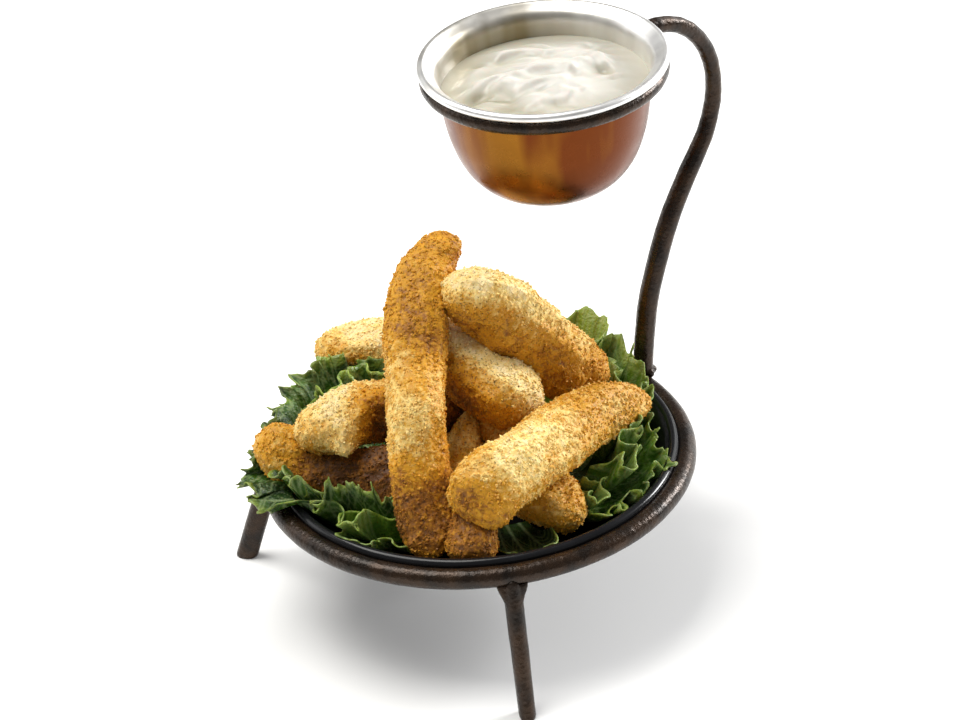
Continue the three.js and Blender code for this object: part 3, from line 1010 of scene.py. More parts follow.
@dataclass
class DipCup:
    """The round-bottomed cup with its rolled lip, and the dip in it."""

    lip_height: float = 208.8 * MM
    lip_radius: float = 45.5 * MM
    lip_roll: float = 1.6 * MM
    lip_arc: Range = (-150, 140)
    wall: float = 0.9 * MM
    outline: tuple[tuple[float, float], ...] = (
        (0, 53), (15, 52.2), (25.5, 47.5), (32.5, 39.5), (36.8, 28.5), (39, 17), (40.2, 8),
        (40.6, 4.5), (41.7, 2), (43.5, 0.6),
    )
    outline_points: int = 40
    segments: int = 160
    steel_below_lip: float = 1.2
    # Where the copper's painted golden reflection lies, in degrees round the cup, how wide it is,
    # and how much of the darkening it takes away.
    golden_side: float = 243
    golden_spread: float = 17
    golden_share: float = 0.85
    # Where painted shade darkens the steel inside, in degrees round the cup, how wide it is, and
    # how much less of it lies on the lip.
    dull_side: float = 118
    dull_spread: float = 62
    lip_shine: float = 0.45
    dip_drop: float = 10.5 * MM
    dip_radius: float = 39.2 * MM
    dip_rings: int = 120
    dip_segments: int = 200
    mound: float = 4.2 * MM
    mound_at: tuple[float, float] = (6 * MM, 2 * MM)
    mound_breadth: float = 1.05
    mound_power: float = 1.5
    folds: Folds = Folds()
    fold_fade: float = 1.3

    def curve(self) -> np.ndarray:
        """A smooth curve through the outline, as rows of radius and height."""
        rows = smooth(self.outline, self.outline_points) * MM
        rows[:, 1] = self.lip_height - rows[:, 1]
        rows[0, 0] = 0
        return rows

    def nearness(self, piece: bpy.types.Object, axis: Vector, side: float,
                 spread: float) -> np.ndarray:
        """How near each vertex is to one side of the cup: 1 there, less round about.

        Args:
            piece: The cup.
            axis: Its upright axis.
            side: Direction of that side, in degrees.
            spread: How far round it reaches, in degrees.

        Returns:
            A number for each vertex.
        """
        spots = places(piece)
        direction = np.arctan2(spots[:, 1] - axis.y, spots[:, 0] - axis.x)
        away = np.degrees(np.arccos(np.cos(direction - math.radians(side)))) / spread
        return np.exp(-(away ** 2))

    def weathered(self, piece: bpy.types.Object, axis: Vector) -> None:
        """Store where the copper carries its painted reflection and where the steel carries
        painted shade.

        Args:
            piece: The cup.
            axis: Its upright axis.
        """
        # Painted reflection: the copper is golden on one side and darker elsewhere.
        golden = self.nearness(piece, axis, self.golden_side, self.golden_spread)
        marked(piece, "patina", 1 - self.golden_share * golden)
        # Painted shade on the steel's back wall, lighter near the lip.
        dull = self.nearness(piece, axis, self.dull_side, self.dull_spread)
        near_lip = (places(piece)[:, 2] - self.lip_height) / (2 * self.lip_roll) + 1
        marked(piece, "dullness", dull * (1 - self.lip_shine * np.clip(near_lip, 0, 1)))

    def build_cup(self, axis: Vector) -> None:
        """Spin the cup, copper outside and steel inside.

        Args:
            axis: Its upright axis.
        """
        outer = self.curve()
        slope = np.gradient(outer, axis=0)
        slope /= np.linalg.norm(slope, axis=1)[:, None]
        inner = outer + self.wall * np.stack([-slope[:, 1], slope[:, 0]], axis=1)
        inner[0] = (0, outer[0, 1] + self.wall)
        lip = bend((self.lip_radius, self.lip_height), self.lip_roll, *self.lip_arc)
        profile = [*map(tuple, outer), *lip, *map(tuple, inner[::-1])]
        piece = spun("metal_cup", profile, axis, self.segments)
        self.weathered(piece, axis)
        handed_over(piece, "sauce_cup", Slot.COPPER, COPPER.mixed(), STEEL.mixed())
        steel_above = self.lip_height - self.steel_below_lip * self.lip_roll
        for face in piece.data.polygons:
            middle = Vector(face.center) - axis
            reach = math.hypot(middle.x, middle.y)
            is_outside = face.normal.x * middle.x + face.normal.y * middle.y > 0
            is_floor_inside = reach < self.outline[1][0] * MM and face.normal.z > 0
            is_copper = is_outside and not is_floor_inside and face.center.z <= steel_above
            face.material_index = 0 if is_copper else 1

    def surface(self, across: np.ndarray, along: np.ndarray) -> np.ndarray:
        """Height of the spooned surface above the level at the wall, in metres.

        Args:
            across: Places from the dip's middle towards the right, in metres.
            along: The same places, towards the back.

        Returns:
            The height at each place.
        """
        reach = np.hypot(across, along) / self.dip_radius
        aside = np.hypot(across - self.mound_at[0], along - self.mound_at[1]) / self.dip_radius
        mound = np.clip(self.mound_breadth - aside ** 2, 0, 1) ** self.mound_power
        folds = self.folds.raised(across, along, self.dip_radius)
        return self.mound * mound + folds * np.clip(self.fold_fade * (1 - reach ** 4), 0, 1)

    def build_dip(self, axis: Vector) -> None:
        """Fill the cup with spooned dip.

        Args:
            axis: The cup's upright axis.
        """
        level = self.lip_height - self.dip_drop
        body = [row for row in self.curve() if row[1] < level - 1.5 * MM]
        inside = [(max(radius - self.wall / 2, 0), height) for radius, height in body]
        inside[0] = (0, body[0][1] + self.wall / 2)
        top = [(radius, level) for radius in np.linspace(self.dip_radius, 0, self.dip_rings)]
        piece = spun("spooned_dip", [*inside, *top], axis, self.dip_segments)
        points = places(piece)
        upper = points[:, 2] > level - MERGE
        rise = self.surface(points[:, 0] - axis.x, points[:, 1] - axis.y)
        points[upper, 2] += rise[upper]
        placed(piece, points)
        spread = (rise - rise[upper].min()) / np.ptp(rise[upper])
        marked(piece, "rise", np.clip(spread, 0, 1))
        handed_over(piece, "dip", Slot.DIP, CreamyDip().mixed())

    def build(self) -> None:
        """Make the cup and what is in it."""
        axis = middle_of("sauce_cup")
        axis.z = 0
        self.build_cup(axis)
        self.build_dip(axis)


# ---- Pickle spears ------------------------------------------------------------------


@dataclass(frozen=True)
class Touch:
    """One touch of the hand on a spear: a soft push, a change of its frying and its painted
    shading, or both.

    The place, the reach and the push are in millimetres from the foot of the plate's axis.
    Toast darkens the crust there, partly as real browning and partly as painted shade where
    the crust lies in shadow; below zero it makes the crust paler, as painted light where it
    catches the light. Herbs is how much denser its dark specks are.
    """

    at: tuple[float, float, float]
    reach: float
    toast: float = 0.0
    push: tuple[float, float, float] = (0, 0, 0)
    herbs: float = 0.0


# A touch's third number darkens the crust, partly as real browning and partly as painted shade;
# below zero it paints light on it.
SPEAR_TOUCHES: dict[str, tuple[Touch, ...]] = {
    "tall": (
        Touch((-5, 34, 131), 10, 0.75, (4, -1, 0.5)),
        Touch((-21, 20, 129), 12, 0.15, (-2.5, 0, 0)),
        Touch((-17, 2, 117), 15, 0.75, herbs=0.2),
        Touch((-20, -30, 97), 19, -0.3, (0, -2.6, 2.8)),
        Touch((-29, -10, 105), 9, -0.3),
        Touch((-10, -8, 104), 9, 0.5),
        Touch((-12, -32, 86), 8, 0.6),
        Touch((-23, -38, 88), 12, -1.0, herbs=0.5),
        Touch((-21, -56, 68), 24, 1.3, (0, 2.2, -2)),
        Touch((-30, -58, 62), 8, 0.3, (2, 0, 0)),
    ),
    "crown": (
        Touch((-2, 12, 129), 10, -1.0, herbs=0.3),
        Touch((-2, 2, 112), 10, 0.55, herbs=0.8),
        Touch((4, -1, 103), 12, 0.3, (0, 2, 6)),
        Touch((12, 15, 128), 13, -1.2),
        Touch((30, 15, 114), 13, -1.0, (0, 0, -1.5)),
        Touch((44, 20, 96), 11, -0.6),
        Touch((13, 2, 108), 12, 0.1, herbs=0.4),
        Touch((22, 2, 95), 13, 0.4),
        Touch((35, 5, 81), 14, 0.45),
        Touch((50, 18, 75), 9, 0.2, (2, 0, -3)),
    ),
    "middle": (
        Touch((-4, 14, 101), 9, -1.2, (-1, -1.5, 2.5)),
        Touch((6, 10, 98), 9, -1.3, (0, -1, 1.5)),
        Touch((14, 3, 96), 9, -1.1),
        Touch((22, -4, 88), 11, -0.8, (1.2, 0, 1), herbs=0.3),
        Touch((25, -8, 80), 9, -0.6, (2.5, -1, 0)),
        Touch((-5, 0, 92), 8, 0.35, herbs=0.6),
        Touch((-7, -6, 81), 9, 1.1),
        Touch((7, -9, 78), 10, 0.6),
        Touch((8, -9, 91), 14, -0.25, herbs=0.9),
    ),
    "far": (
        Touch((-46, 62, 80), 16, -1.1),
        Touch((-34, 60, 80), 12, -1.1),
        Touch((-46, 49, 71), 12, 0.6),
    ),
    "hooked": (
        Touch((-60, -6, 86), 12, -1.0, herbs=0.8),
        Touch((-46, 4, 88), 12, -1.1, herbs=0.4),
        Touch((-58, -18, 79), 6, 0.5),
        Touch((-49, -16, 77), 9, -0.8, (0, -4.5, -3.5)),
        Touch((-37, -9, 80), 11, 1.05, (0, 4.5, 1)),
        Touch((-38, 0, 86), 6, 0.5),
        Touch((-30, 0, 72), 9, 1.4, (0, 0, -3)),
        Touch((-6, 9, 70), 13, 1.7),
    ),
    "low_left": (
        Touch((-74, -3, 76), 7, 0.1, (-1, 0, 2)),
        Touch((-60, -16, 66), 9, 0.9),
        Touch((-48, -20, 62), 15, 1.3),
        Touch((-36, -18, 64), 15, 1.4, (0, 2, 4.5)),
    ),
    "low_right": (
        Touch((29, -52, 56), 10, 0.0),
        Touch((38, -44, 60), 9, 0.0),
        Touch((18, -42, 57), 12, 0.0, (-7, -3, 1)),
        Touch((9, 0, 67), 8, -0.8, (-1, 0, 1.5)),
        Touch((4, 5, 65), 9, 0.6, (-3.5, 3, 4.5)),
    ),
    "cross": (
        Touch((26, -40, 88), 17, -0.9, herbs=0.2),
        Touch((12, -52, 86), 12, -0.7),
        Touch((62, 0, 74), 15, -0.1, herbs=0.8),
        Touch((50, -18, 75), 12, 0.0, herbs=0.6),
        Touch((-3, -66, 72), 8, 0.9),
        Touch((4, -62, 72), 11, 0.1, (0, -1.5, -5)),
        Touch((26, -46, 74), 10, 0.3, (0, 0, 2)),
        Touch((-6, -60, 82), 8, 0.1, (-1.5, 0, 1.5)),
    ),
    "low_front": (
        Touch((-3, -67, 63), 16, 1.5),
        Touch((-5, -2, 66), 10, -0.4, (3, 6, 6), herbs=1.0),
    ),
}


@dataclass
class LooseCrumbs:
    """Grains that stand out of a crust: one is modelled, then strewn over a spear."""

    per_square_mm: float = 0.8
    size: Range = (0.24 * MM, 0.88 * MM)
    rarity: float = 3.2
    rise: float = 0.2
    stretch: Range = (0.65, 1.3)
    jag: float = 0.25
    crag: Range = (0.35, 0.85)

    def model(self) -> tuple[np.ndarray, np.ndarray]:
        """One eight-sided grain of unit size: its corners and its faces."""
        nothing_selected()
        bpy.ops.mesh.primitive_cone_add(vertices=4, radius1=1, depth=1, location=(0, 0, 0.5))
        grain = bpy.context.object
        settle(grain)
        bpy.ops.object.mode_set(mode="EDIT")
        bpy.ops.mesh.select_mode(type="FACE")
        bpy.ops.mesh.select_all(action="DESELECT")
        bpy.ops.object.mode_set(mode="OBJECT")
        for face in grain.data.polygons:
            face.select = len(face.vertices) == 4
        bpy.ops.object.mode_set(mode="EDIT")
        bpy.ops.mesh.poke(offset=1)
        bpy.ops.mesh.select_mode(type="VERT")
        bpy.ops.object.mode_set(mode="OBJECT")
        corners = places(grain)
        faces = np.array([list(face.vertices) for face in grain.data.polygons])
        bpy.data.objects.remove(grain, do_unlink=True)
        return corners, faces

    def strewn(self, spear: bpy.types.Object, name: str, seed: int) -> bpy.types.Object:
        """Strew grains over a spear, each with its own size, shape and turn.

        Args:
            spear: The finished spear.
            name: Name of the new object.
            seed: Seed of where the grains lie.

        Returns:
            All the grains, as one object.
        """
        rng = np.random.default_rng(seed)
        points = places(spear)
        spear.data.calc_loop_triangles()
        flat = np.empty(3 * len(spear.data.loop_triangles), dtype=np.int32)
        spear.data.loop_triangles.foreach_get("vertices", flat)
        triangles = flat.reshape(-1, 3)
        first, second, third = (points[triangles[:, i]] for i in range(3))
        faced = np.cross(second - first, third - first)
        double_area = np.linalg.norm(faced, axis=1)
        count = int(double_area.sum() / 2 / MM ** 2 * self.per_square_mm)
        chosen = rng.choice(len(triangles), count, p=double_area / double_area.sum())
        share = rng.dirichlet((1, 1, 1), count)[:, :, None]
        middle = (share[:, 0] * first[chosen] + share[:, 1] * second[chosen]
                  + share[:, 2] * third[chosen])
        low, high = self.size
        size = low + (high - low) * rng.random(count) ** self.rarity
        middle += faced[chosen] * (self.rise * size / double_area[chosen])[:, None]
        corners, faces = self.model()
        shape = corners * rng.uniform(*self.stretch, (count, 1, 3))
        shape = shape + rng.uniform(-self.jag, self.jag, shape.shape)
        turn = np.linalg.qr(rng.normal(size=(count, 3, 3)))[0]
        turn *= np.sign(np.linalg.det(turn))[:, None, None]
        grains = (shape * size[:, None, None]) @ turn + middle[:, None, :]
        mesh = bpy.data.meshes.new(name)
        every_face = faces[None] + len(corners) * np.arange(count)[:, None, None]
        mesh.from_pydata(grains.reshape(-1, 3), [], every_face.reshape(-1, 3))
        piece = bpy.data.objects.new(name, mesh)
        bpy.context.collection.objects.link(piece)
        for kind in ("toast", "herbs"):
            values = np.empty(len(points), dtype=np.float32)
            spear.data.attributes[kind].data.foreach_get("value", values)
            marked(piece, kind, np.repeat(values[triangles[chosen, 0]], len(corners)))
        marked(piece, "crag", np.repeat(rng.uniform(*self.crag, count), len(corners)))
        return piece


@dataclass
class Spears:
    """The breaded spears: rounded wedges under a crust of crumb."""

    voxel: float = 0.43 * MM
    passes: int = 14
    swell: float = 0.15 * MM
    lumps: tuple[Relief, ...] = (Relief(Grain.CLOUDS, 13 * MM, 1.8 * MM),)
    crumbs: tuple[Relief, ...] = (
        Relief(Grain.CLOUDS, 3.2 * MM, 0.7 * MM),
        Relief(Grain.CELLS, 2.3 * MM, -0.38 * MM),
        Relief(Grain.CELLS, 1.05 * MM, -0.28 * MM),
        Relief(Grain.CLOUDS, 0.6 * MM, 0.3 * MM),
    )
    halo: float = 1.6
    toast_limits: Range = (-1.4, 2)
    loose: LooseCrumbs = field(default_factory=LooseCrumbs)
    made: list[bpy.types.Object] = field(default_factory=list)

    def touched(self, piece: bpy.types.Object, touches: Sequence[Touch], foot: np.ndarray) -> None:
        """Push a spear into shape and store how its crust is fried and where shade and light are
        painted on it.

        Args:
            piece: The spear.
            touches: What is done to it, one touch after the other.
            foot: Where the plate's axis meets the floor.
        """
        points = places(piece)
        toast, herbs = np.zeros(len(points)), np.zeros(len(points))
        for touch in touches:
            away = np.linalg.norm(points - foot - np.array(touch.at) * MM, axis=1)
            away /= touch.reach * MM
            near = np.clip(1 - away ** 2, 0, 1) ** 2
            points = points + near[:, None] * np.array(touch.push) * MM
            fried = np.clip(1 - (away / self.halo) ** 2, 0, 1)
            toast += touch.toast * fried
            herbs += touch.herbs * fried
        placed(piece, points)
        # Browning and painted shade, and below zero painted light, for the crust's colour.
        marked(piece, "toast", np.clip(toast, *self.toast_limits))
        marked(piece, "herbs", np.clip(herbs, -1, 1))

    def spear(self, name: str, foot: np.ndarray) -> bpy.types.Object:
        """One spear, with the height of its crumbs stored for the colours.

        Args:
            name: Which spear it is.
            foot: Where the plate's axis meets the floor.

        Returns:
            The new spear.
        """
        piece = rounded_copy(f"spear_{name}", f"breaded_{name}", self.voxel, self.passes,
                             self.swell)
        self.touched(piece, SPEAR_TOUCHES[name], foot)
        relieved(piece, self.lumps)
        before = places(piece)
        outwards = normals(piece)
        relieved(piece, self.crumbs)
        height = np.einsum("ij,ij->i", places(piece) - before, outwards)
        low, high = np.percentile(height, (2, 98))
        marked(piece, "crag", np.clip((height - low) / (high - low), 0, 1))
        return piece

    def shell(self) -> BVHTree:
        """The skins of all spears, for finding what lies under them."""
        corners, faces = [], []
        for piece in self.made:
            first = len(corners)
            corners += [vertex.co.copy() for vertex in piece.data.vertices]
            faces += [[first + i for i in face.vertices] for face in piece.data.polygons]
        return BVHTree.FromPolygons(corners, faces)

    def build(self, crumb: bpy.types.Material) -> None:
        """Make and dress all spears.

        Args:
            crumb: What their crust is made of.
        """
        foot = np.array(middle_of("plate_ring")) * (1, 1, 0)
        for seed, name in enumerate(SPEAR_TOUCHES):
            piece = self.spear(name, foot)
            handed_over(piece, f"spear_{name}", Slot.CRUMB, crumb)
            self.made.append(piece)
            grains = self.loose.strewn(piece, f"loose_crumbs_{name}", seed)
            handed_over(grains, f"spear_{name}", Slot.CRUMB, crumb)


# ---- Lettuce ------------------------------------------------------------------------


@dataclass(frozen=True)
class Wave:
    """One size of ruffle: its length along the rim, its height and how late it begins."""

    length: float
    height: float
    onset: float


@dataclass(frozen=True)
class Frond:
    """One frilled sheet of a leaf, laid out round the plate's axis.

    Its rim runs through places given as (direction in degrees, radius, height over the
    floor), and its base is a radius at the rim's start and one at its end. All lengths
    are in millimetres. Stretch draws its ruffles out, and light is painted light: above zero it
    makes the frond paler where it is lit, below zero darker where it lies in shade.
    """

    rim: tuple[tuple[float, float, float], ...]
    base: tuple[float, float]
    frill: float = 1.0
    teeth: float = 2.2
    ribs: int = 3
    stretch: float = 1.0
    light: float = 0.0


def ruffle(rng: np.random.Generator, along: np.ndarray,
           pitch: float) -> tuple[np.ndarray, np.ndarray]:
    """An uneven ruffle along a rim.

    Args:
        rng: What makes it uneven.
        along: Places, as distances along the rim.
        pitch: About how long one wave is.

    Returns:
        Its phase and how strong it is, place by place.
    """
    count = int(along.max() / pitch * 3) + 6
    turns = np.cumsum(rng.uniform(0.55, 1.6, count)) * pitch / 2 - pitch
    phase = np.interp(along, turns, math.pi * np.arange(count))
    return phase, np.interp(along, turns, rng.uniform(0.2, 1.55, count))


@dataclass
class Lettuce:
    """The frilly leaves that the pile lies on.

    The numbers without a unit are shares or powers: rim_drop and rim_corner round a
    frond's two corners, lift_power bends it up, and fold_back, lean and lag make each
    ruffle overhang.
    """

    plate: Plate
    spears: Spears
    fine: float = 0.42 * MM
    rows: int = 34
    thickness: float = 0.55 * MM
    under: float = 0.7 * MM
    clearance: float = 1.2 * MM
    lift_power: float = 2
    rim_drop: float = 0.15
    rim_corner: float = 8
    fold_back: float = 0.11
    lean: float = 0.35
    lag: float = 0.6
    waves: tuple[Wave, ...] = (
        Wave(17 * MM, 2.9 * MM, 1.6), Wave(7.5 * MM, 2.1 * MM, 3), Wave(3.4 * MM, 0.9 * MM, 7),
    )
    notches: tuple[tuple[float, float], ...] = ((7 * MM, 1.0), (2.8 * MM, 0.4))
    rib_width: Range = (1.5 * MM, 0.3 * MM)
    rib_drift: Range = (0.06, 0.12)
    fork_starts: tuple[float, ...] = (0.25, 0.4, 0.55, 0.7, 0.85)
    fork_spread: float = 0.42
    fork_width: float = 0.55 * MM
    # Each frond's light is painted light, and below zero painted shade.
    leaves: dict[str, tuple[Frond, ...]] = field(default_factory=lambda: {
        "back_left": (
            Frond(((172, 85, 65), (163, 82.5, 68), (155, 81, 70), (148, 81, 72), (143, 76, 76),
                   (136, 70, 76), (127, 64, 75)), (48, 38), teeth=4.5, ribs=4, stretch=1.3,
                  light=-0.3),
            Frond(((166, 70, 66), (154, 66, 72), (142, 60, 75), (128, 52, 72)), (44, 36),
                  teeth=2.5, stretch=1.2, light=0.1),
        ),
        "left": (
            Frond(((168, 83, 65), (175, 85.5, 63), (182, 88, 62), (189, 92.5, 60.5),
                   (195, 91.5, 59.5), (200, 90, 59), (205, 86, 61), (210, 82, 63)),
                  (62, 60), frill=0.9, teeth=4, stretch=1.2, light=-0.45),
            Frond(((190, 77, 66), (197, 78, 69), (204, 77, 70), (210, 74, 67)),
                  (60, 58), frill=1.2, ribs=2, light=0),
        ),
        "front_left": (
            Frond(((199, 80, 65), (204, 76, 66.5), (209, 70, 68.5), (213, 64, 70.5),
                   (220, 59, 71), (228, 55.5, 69.5), (235, 57.5, 66), (241, 59, 62)),
                  (60, 44), teeth=8, frill=0.55, ribs=4, stretch=1.2, light=-0.3),
        ),
        "front": (
            Frond(((206, 75, 62), (213, 71.5, 61.5), (220, 72, 60), (228, 71.5, 60),
                   (235, 71, 58), (241, 69, 56), (247, 63, 54), (252, 57, 52)),
                  (56, 40), teeth=4, ribs=5, stretch=1.5, light=-0.1),
            Frond(((218, 67, 61), (226, 68, 63), (234, 67, 61)), (50, 46), frill=1.4, ribs=1,
                  light=0.6),
        ),
        "front_right": (
            Frond(((273, 60, 49.5), (281, 64, 50.5), (289, 66.5, 52), (297, 66, 53)),
                  (34, 36), frill=0.3, teeth=1.5, stretch=1.5, light=-0.4),
        ),
        "right": (
            Frond(((7, 59, 66), (-1, 65, 66), (-6, 70, 62), (-12, 74.5, 59.5), (-20, 74.5, 59),
                   (-27, 73, 58), (-35, 71.5, 57), (-43, 68.5, 55.5), (-49, 62, 53)),
                  (36, 30), frill=1.1, teeth=4.5, ribs=5, stretch=1.05, light=0.05),
            Frond(((-4, 59, 70), (-15, 62, 69), (-26, 63, 67), (-34, 61, 64)),
                  (36, 36), frill=1.4, teeth=3, light=0.2),
            Frond(((-34, 54, 62), (-41, 57, 61), (-48, 57, 57)), (38, 38), frill=1.2, ribs=2,
                  light=0.4),
        ),
        "back_right": (
            Frond(((59, 68, 76), (54, 76, 79), (47, 79.5, 79), (41, 73, 75)),
                  (44, 42), frill=0.35, teeth=3, ribs=2, stretch=1.7, light=1.25),
            Frond(((42, 68, 73), (37, 74.5, 76), (31, 72, 73), (26, 75.5, 71), (20, 74, 67),
                   (12, 69, 64)), (44, 38), frill=0.8, teeth=4, ribs=4, stretch=1.5, light=0.6),
            Frond(((40, 62, 72), (28, 64, 71), (14, 62, 66)), (38, 38), light=0.1),
        ),
        "back": (
            Frond(((62, 72, 76), (78, 68, 80), (94, 61, 82), (106, 68, 72)), (44, 40)),
        ),
        "rear": (
            Frond(((103, 72, 69), (116, 77, 64), (129, 74, 68)), (40, 40)),
        ),
    })

    def bed(self, radius: np.ndarray) -> np.ndarray:
        """Height of the plate, its lip and the ring at a distance from the axis.

        Args:
            radius: Distances from the axis.

        Returns:
            The height at each of them.
        """
        shares = np.clip((radius - self.plate.floor_radius)
                         / (self.plate.lip_radius - self.plate.floor_radius), 0, 1)
        rise = self.plate.lip_height + self.plate.lip_roll - self.plate.floor_height
        return self.plate.floor_height + rise * shares ** self.plate.wall_power

    def spread_out(self, frond: Frond) -> tuple[np.ndarray, np.ndarray, np.ndarray, float]:
        """Lay a frond out, still without ruffles.

        Args:
            frond: Where it lies.

        Returns:
            Its points (rows, columns, 3), each point's share of the way from base to rim
            and along the rim, and the rim's length.
        """
        direction, reach, top = smooth(frond.rim, 200).T
        steps = np.hypot(np.gradient(reach), reach * np.gradient(np.radians(direction)))
        path = np.cumsum(steps) * MM
        length = path[-1]
        columns = max(int(1.5 * length / self.fine), 24)
        along = np.linspace(0, length, columns)
        direction, reach, top = (np.interp(along, path, row) for row in (direction, reach, top))
        u, v = np.meshgrid(np.linspace(0, 1, self.rows), np.linspace(0, 1, columns), indexing="ij")
        reach = reach * (1 - self.rim_drop * np.abs(2 * v - 1) ** self.rim_corner)
        base = frond.base[0] + (frond.base[1] - frond.base[0]) * v
        radius = (base + (reach - base) * u) * MM
        turn = np.radians(direction) * np.ones_like(v)
        lift = top * MM - self.bed(reach * MM) - self.clearance
        height = self.bed(radius) + self.clearance + lift * u ** self.lift_power
        points = np.stack([radius * np.cos(turn), radius * np.sin(turn), height], axis=-1)
        return points, u, v, length

    def frilled(self, points: np.ndarray, frond: Frond, u: np.ndarray, along: np.ndarray,
                rng: np.random.Generator) -> np.ndarray:
        """Ruffle a frond and cut teeth into its rim.

        Args:
            points: The plain frond.
            frond: How it is frilled.
            u: Each point's share of the way from base to rim.
            along: Each point's distance along the rim.
            rng: What makes the ruffles uneven.

        Returns:
            The frilled frond.
        """
        outward = np.gradient(points, axis=0)
        outward /= np.linalg.norm(outward, axis=-1, keepdims=True)
        sideways = np.gradient(points, axis=1)
        sideways /= np.linalg.norm(sideways, axis=-1, keepdims=True)
        upward = np.cross(outward, sideways)
        upward *= np.sign(upward[..., 2:3] + 1e-9)
        for wave in self.waves:
            pitch = wave.length * frond.stretch
            phase, strength = ruffle(rng, along, pitch)
            swell = frond.frill * u ** wave.onset * strength
            height = wave.height * swell
            points = points + upward * (height * np.sin(phase))[..., None]
            points = points - sideways * (self.fold_back * pitch * swell
                                          * np.sin(2 * phase))[..., None]
            points = points + outward * (self.lean * height
                                         * np.cos(phase + self.lag))[..., None]
        for pitch, share in self.notches:
            phase, strength = ruffle(rng, along, pitch * frond.stretch)
            tooth = share * frond.teeth * MM * strength * (0.5 - np.abs(np.sin(phase / 2)) ** 0.8)
            points = points + outward * (tooth * u ** 5)[..., None]
        return points

    def ribbed(self, frond: Frond, u: np.ndarray, v: np.ndarray, length: float,
               rng: np.random.Generator) -> np.ndarray:
        """How much of a rib each point of a frond is, forks included.

        Args:
            frond: How many ribs it has.
            u: Each point's share of the way from base to rim.
            v: Each point's share of the way along the rim.
            length: Length of the rim.
            rng: What makes the ribs uneven.

        Returns:
            A share for each point.
        """
        rib = np.zeros_like(u)
        shift, drift = self.rib_drift
        thick, thin = self.rib_width
        evenly = np.linspace(0, 1, frond.ribs + 2)[1:-1]
        for start in evenly + rng.uniform(-shift, shift, frond.ribs):
            middle = start + rng.uniform(-drift, drift) * u ** 1.5
            width = thick + (thin - thick) * u
            stem = np.exp(-(((v - middle) * length / width) ** 2)) * (1 - 0.5 * u)
            rib = np.maximum(rib, stem)
            for branch in self.fork_starts:
                for hand in (-1, 1):
                    side = middle + hand * np.clip(u - branch, 0, 1) * self.fork_spread
                    fork = np.exp(-(((v - side) * length / self.fork_width) ** 2))
                    rib = np.maximum(rib, 0.5 * fork * (u > branch))
        return rib

    def tucked(self, points: np.ndarray, axis: Vector, pile: BVHTree) -> np.ndarray:
        """Keep a frond above the plate and under whatever lies on it.

        Args:
            points: The frond's points, one row each.
            axis: Middle of the plate.
            pile: What lies on it.

        Returns:
            The same points, moved up or down.
        """
        radius = np.hypot(points[:, 0] - axis.x, points[:, 1] - axis.y)
        floor = self.bed(radius) + self.thickness
        points[:, 2] = np.maximum(points[:, 2], floor)
        for point, low in zip(points, floor):
            hit = pile.ray_cast(Vector((point[0], point[1], low - 2 * MM)), Vector((0, 0, 1)))[0]
            if hit is not None:
                point[2] = max(min(point[2], hit.z - self.under), low - self.under)
        return points

    def sheet(self, frond: Frond, axis: Vector, pile: BVHTree, seed: int) -> bpy.types.Object:
        """One frond as a thin sheet, with its rim, ribs and painted light stored.

        Args:
            frond: Where it lies and how it is frilled.
            axis: Middle of the plate.
            pile: What lies on it.
            seed: Seed of its ruffles.

        Returns:
            The new object.
        """
        rng = np.random.default_rng(seed)
        points, rim, v, length = self.spread_out(frond)
        points = self.frilled(points, frond, rim, v * length, rng)
        rib = self.ribbed(frond, rim, v, length, rng)
        rows, columns = rim.shape
        nothing_selected()
        bpy.ops.mesh.primitive_grid_add(x_subdivisions=columns - 1, y_subdivisions=rows - 1,
                                        size=1)
        piece = bpy.context.object
        flat = points.reshape(-1, 3) + np.array([axis.x, axis.y, 0])
        placed(piece, self.tucked(flat, axis, pile))
        modified(piece, "SMOOTH", factor=0.4, iterations=1)
        marked(piece, "rim", rim.ravel())
        # The frond's painted light and shade.
        marked(piece, "light", np.full(rim.size, frond.light))
        marked(piece, "rib", rib.ravel())
        modified(piece, "SOLIDIFY", thickness=self.thickness, offset=0)
        work_on(piece)
        bpy.ops.object.shade_smooth()
        return piece

    def leaf(self, name: str, axis: Vector, pile: BVHTree, seed: int) -> bpy.types.Object:
        """All fronds of one leaf, joined into one piece.

        Args:
            name: Which leaf it is.
            axis: Middle of the plate.
            pile: What lies on it.
            seed: Seed of its fronds.

        Returns:
            The new leaf.
        """
        fronds = [self.sheet(frond, axis, pile, 10 * seed + i)
                  for i, frond in enumerate(self.leaves[name])]
        nothing_selected()
        for piece in fronds:
            piece.select_set(True)
        bpy.context.view_layer.objects.active = fronds[0]
        if len(fronds) > 1:
            bpy.ops.object.join()
        fronds[0].name = f"frilled_leaf_{name}"
        return fronds[0]

    def build(self, skin: bpy.types.Material) -> None:
        """Make and dress all leaves.

        Args:
            skin: What they are made of.
        """
        axis = middle_of("plate")
        pile = self.spears.shell()
        for seed, name in enumerate(self.leaves):
            piece = self.leaf(name, axis, pile, seed)
            handed_over(piece, f"leaf_{name}", Slot.LETTUCE, skin)


# ---- Studio -------------------------------------------------------------------------


@dataclass(frozen=True)
class Lamp:
    """One soft square light: where it hangs, its side in metres, its power and colour."""

    name: str
    place: tuple[float, float, float]
    side: float
    watts: float
    colour: Colour = (1, 1, 1)


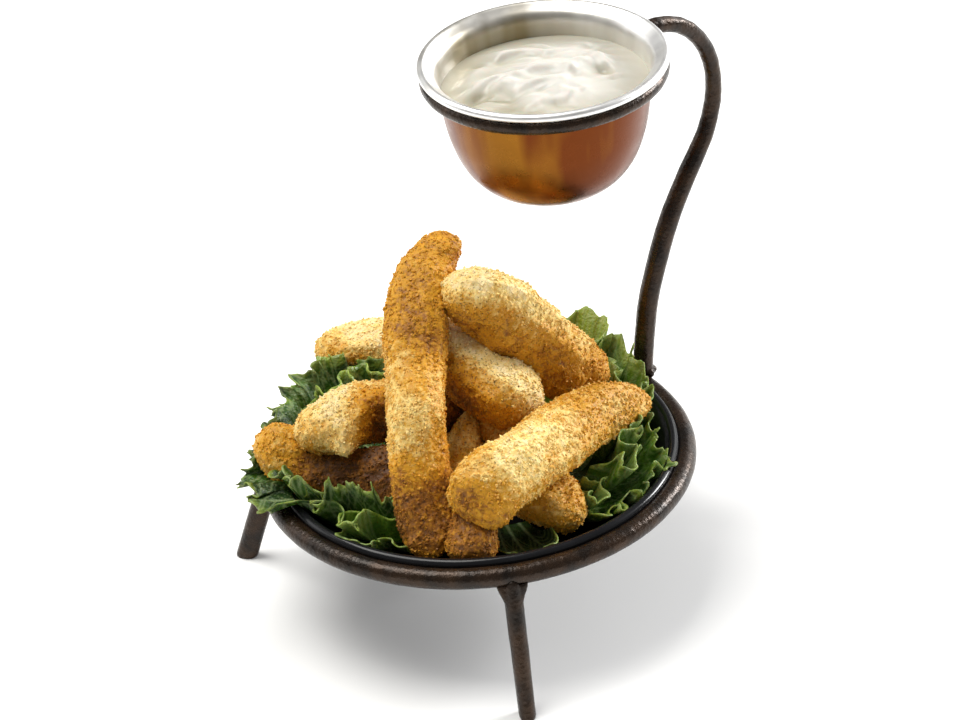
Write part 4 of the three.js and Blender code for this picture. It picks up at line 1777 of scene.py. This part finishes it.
@dataclass
class Studio:
    """Floor, lights and the camera at the photograph's angle."""

    target: tuple[float, float, float] = (4.12 * MM, 0, 44.48 * MM)
    distance: float = 1514.51 * MM
    elevation: float = 31.66
    roll: float = -5.06
    lens: float = 150
    sensor: float = 36
    sight: float = 50
    floor_size: float = 8.0
    lamps: tuple[Lamp, ...] = (
        Lamp("top", (-0.8, 0.3, 2.5), 1.7, 73, (1, 0.985, 0.95)),
        Lamp("left", (-2.3, 0.9, 1.2), 1.5, 13),
        Lamp("right", (2.2, 1.0, 1.1), 0.75, 74),
        Lamp("back", (1.9, 2.2, 1.4), 1.8, 20),
    )
    daylight: float = 0.28

    def camera(self, centre: Vector) -> None:
        """Aim the camera at the middle of the plate ring.

        Args:
            centre: Middle of the plate ring.
        """
        rise = math.radians(self.elevation)
        back = Vector((0, -math.cos(rise), math.sin(rise)))
        right = Vector((1, 0, 0))
        up = right.cross(-back)
        turn = math.radians(self.roll)
        side = math.cos(turn) * right + math.sin(turn) * up
        top = -math.sin(turn) * right + math.cos(turn) * up
        data = bpy.data.cameras.new("camera")
        data.lens = self.lens
        data.sensor_width = self.sensor
        data.clip_end = self.sight
        eye = bpy.data.objects.new("camera", data)
        bpy.context.collection.objects.link(eye)
        place = Matrix((side, top, back)).transposed().to_4x4()
        place.translation = centre + Vector(self.target) + back * self.distance
        eye.matrix_world = place
        bpy.context.scene.camera = eye

    def light(self, lamp: Lamp, centre: Vector) -> None:
        """Hang a soft square light that faces the object.

        Args:
            lamp: The light.
            centre: Where it points.
        """
        nothing_selected()
        bpy.ops.object.light_add(type="AREA", location=lamp.place)
        hung = bpy.context.object
        hung.name = lamp.name
        hung.rotation_euler = (Vector(lamp.place) - centre).to_track_quat("Z", "Y").to_euler()
        hung.data.size = lamp.side
        hung.data.energy = lamp.watts
        hung.data.color = lamp.colour

    def floor(self) -> None:
        """Lay the pale floor."""
        nothing_selected()
        bpy.ops.mesh.primitive_grid_add(x_subdivisions=8, y_subdivisions=8, size=self.floor_size)
        sheet = bpy.context.object
        sheet.name = "pale_floor"
        sheet.data.materials.append(PaleFloor().mixed())

    def build(self) -> None:
        """Set up the whole studio."""
        centre = middle_of("plate_ring")
        self.camera(centre)
        self.floor()
        for lamp in self.lamps:
            self.light(lamp, centre)
        world = bpy.data.worlds.new("studio")
        world.use_nodes = True
        background = world.node_tree.nodes["Background"].inputs
        background["Color"].default_value = (1, 1, 1, 1)
        background["Strength"].default_value = self.daylight
        bpy.context.scene.world = world
        bpy.context.scene.view_settings.view_transform = "Standard"


def main() -> None:
    """Build the whole model in order."""
    logging.basicConfig(level=logging.INFO, format="%(message)s")
    Studio().build()
    Stand().build(HammeredIron().mixed())
    plate = Plate()
    plate.build(BlackEnamel().mixed())
    DipCup().build()
    spears = Spears()
    spears.build(FriedCrumb().mixed())
    Lettuce(plate, spears).build(LettuceSkin().mixed())


if __name__ == "__main__":
    main()
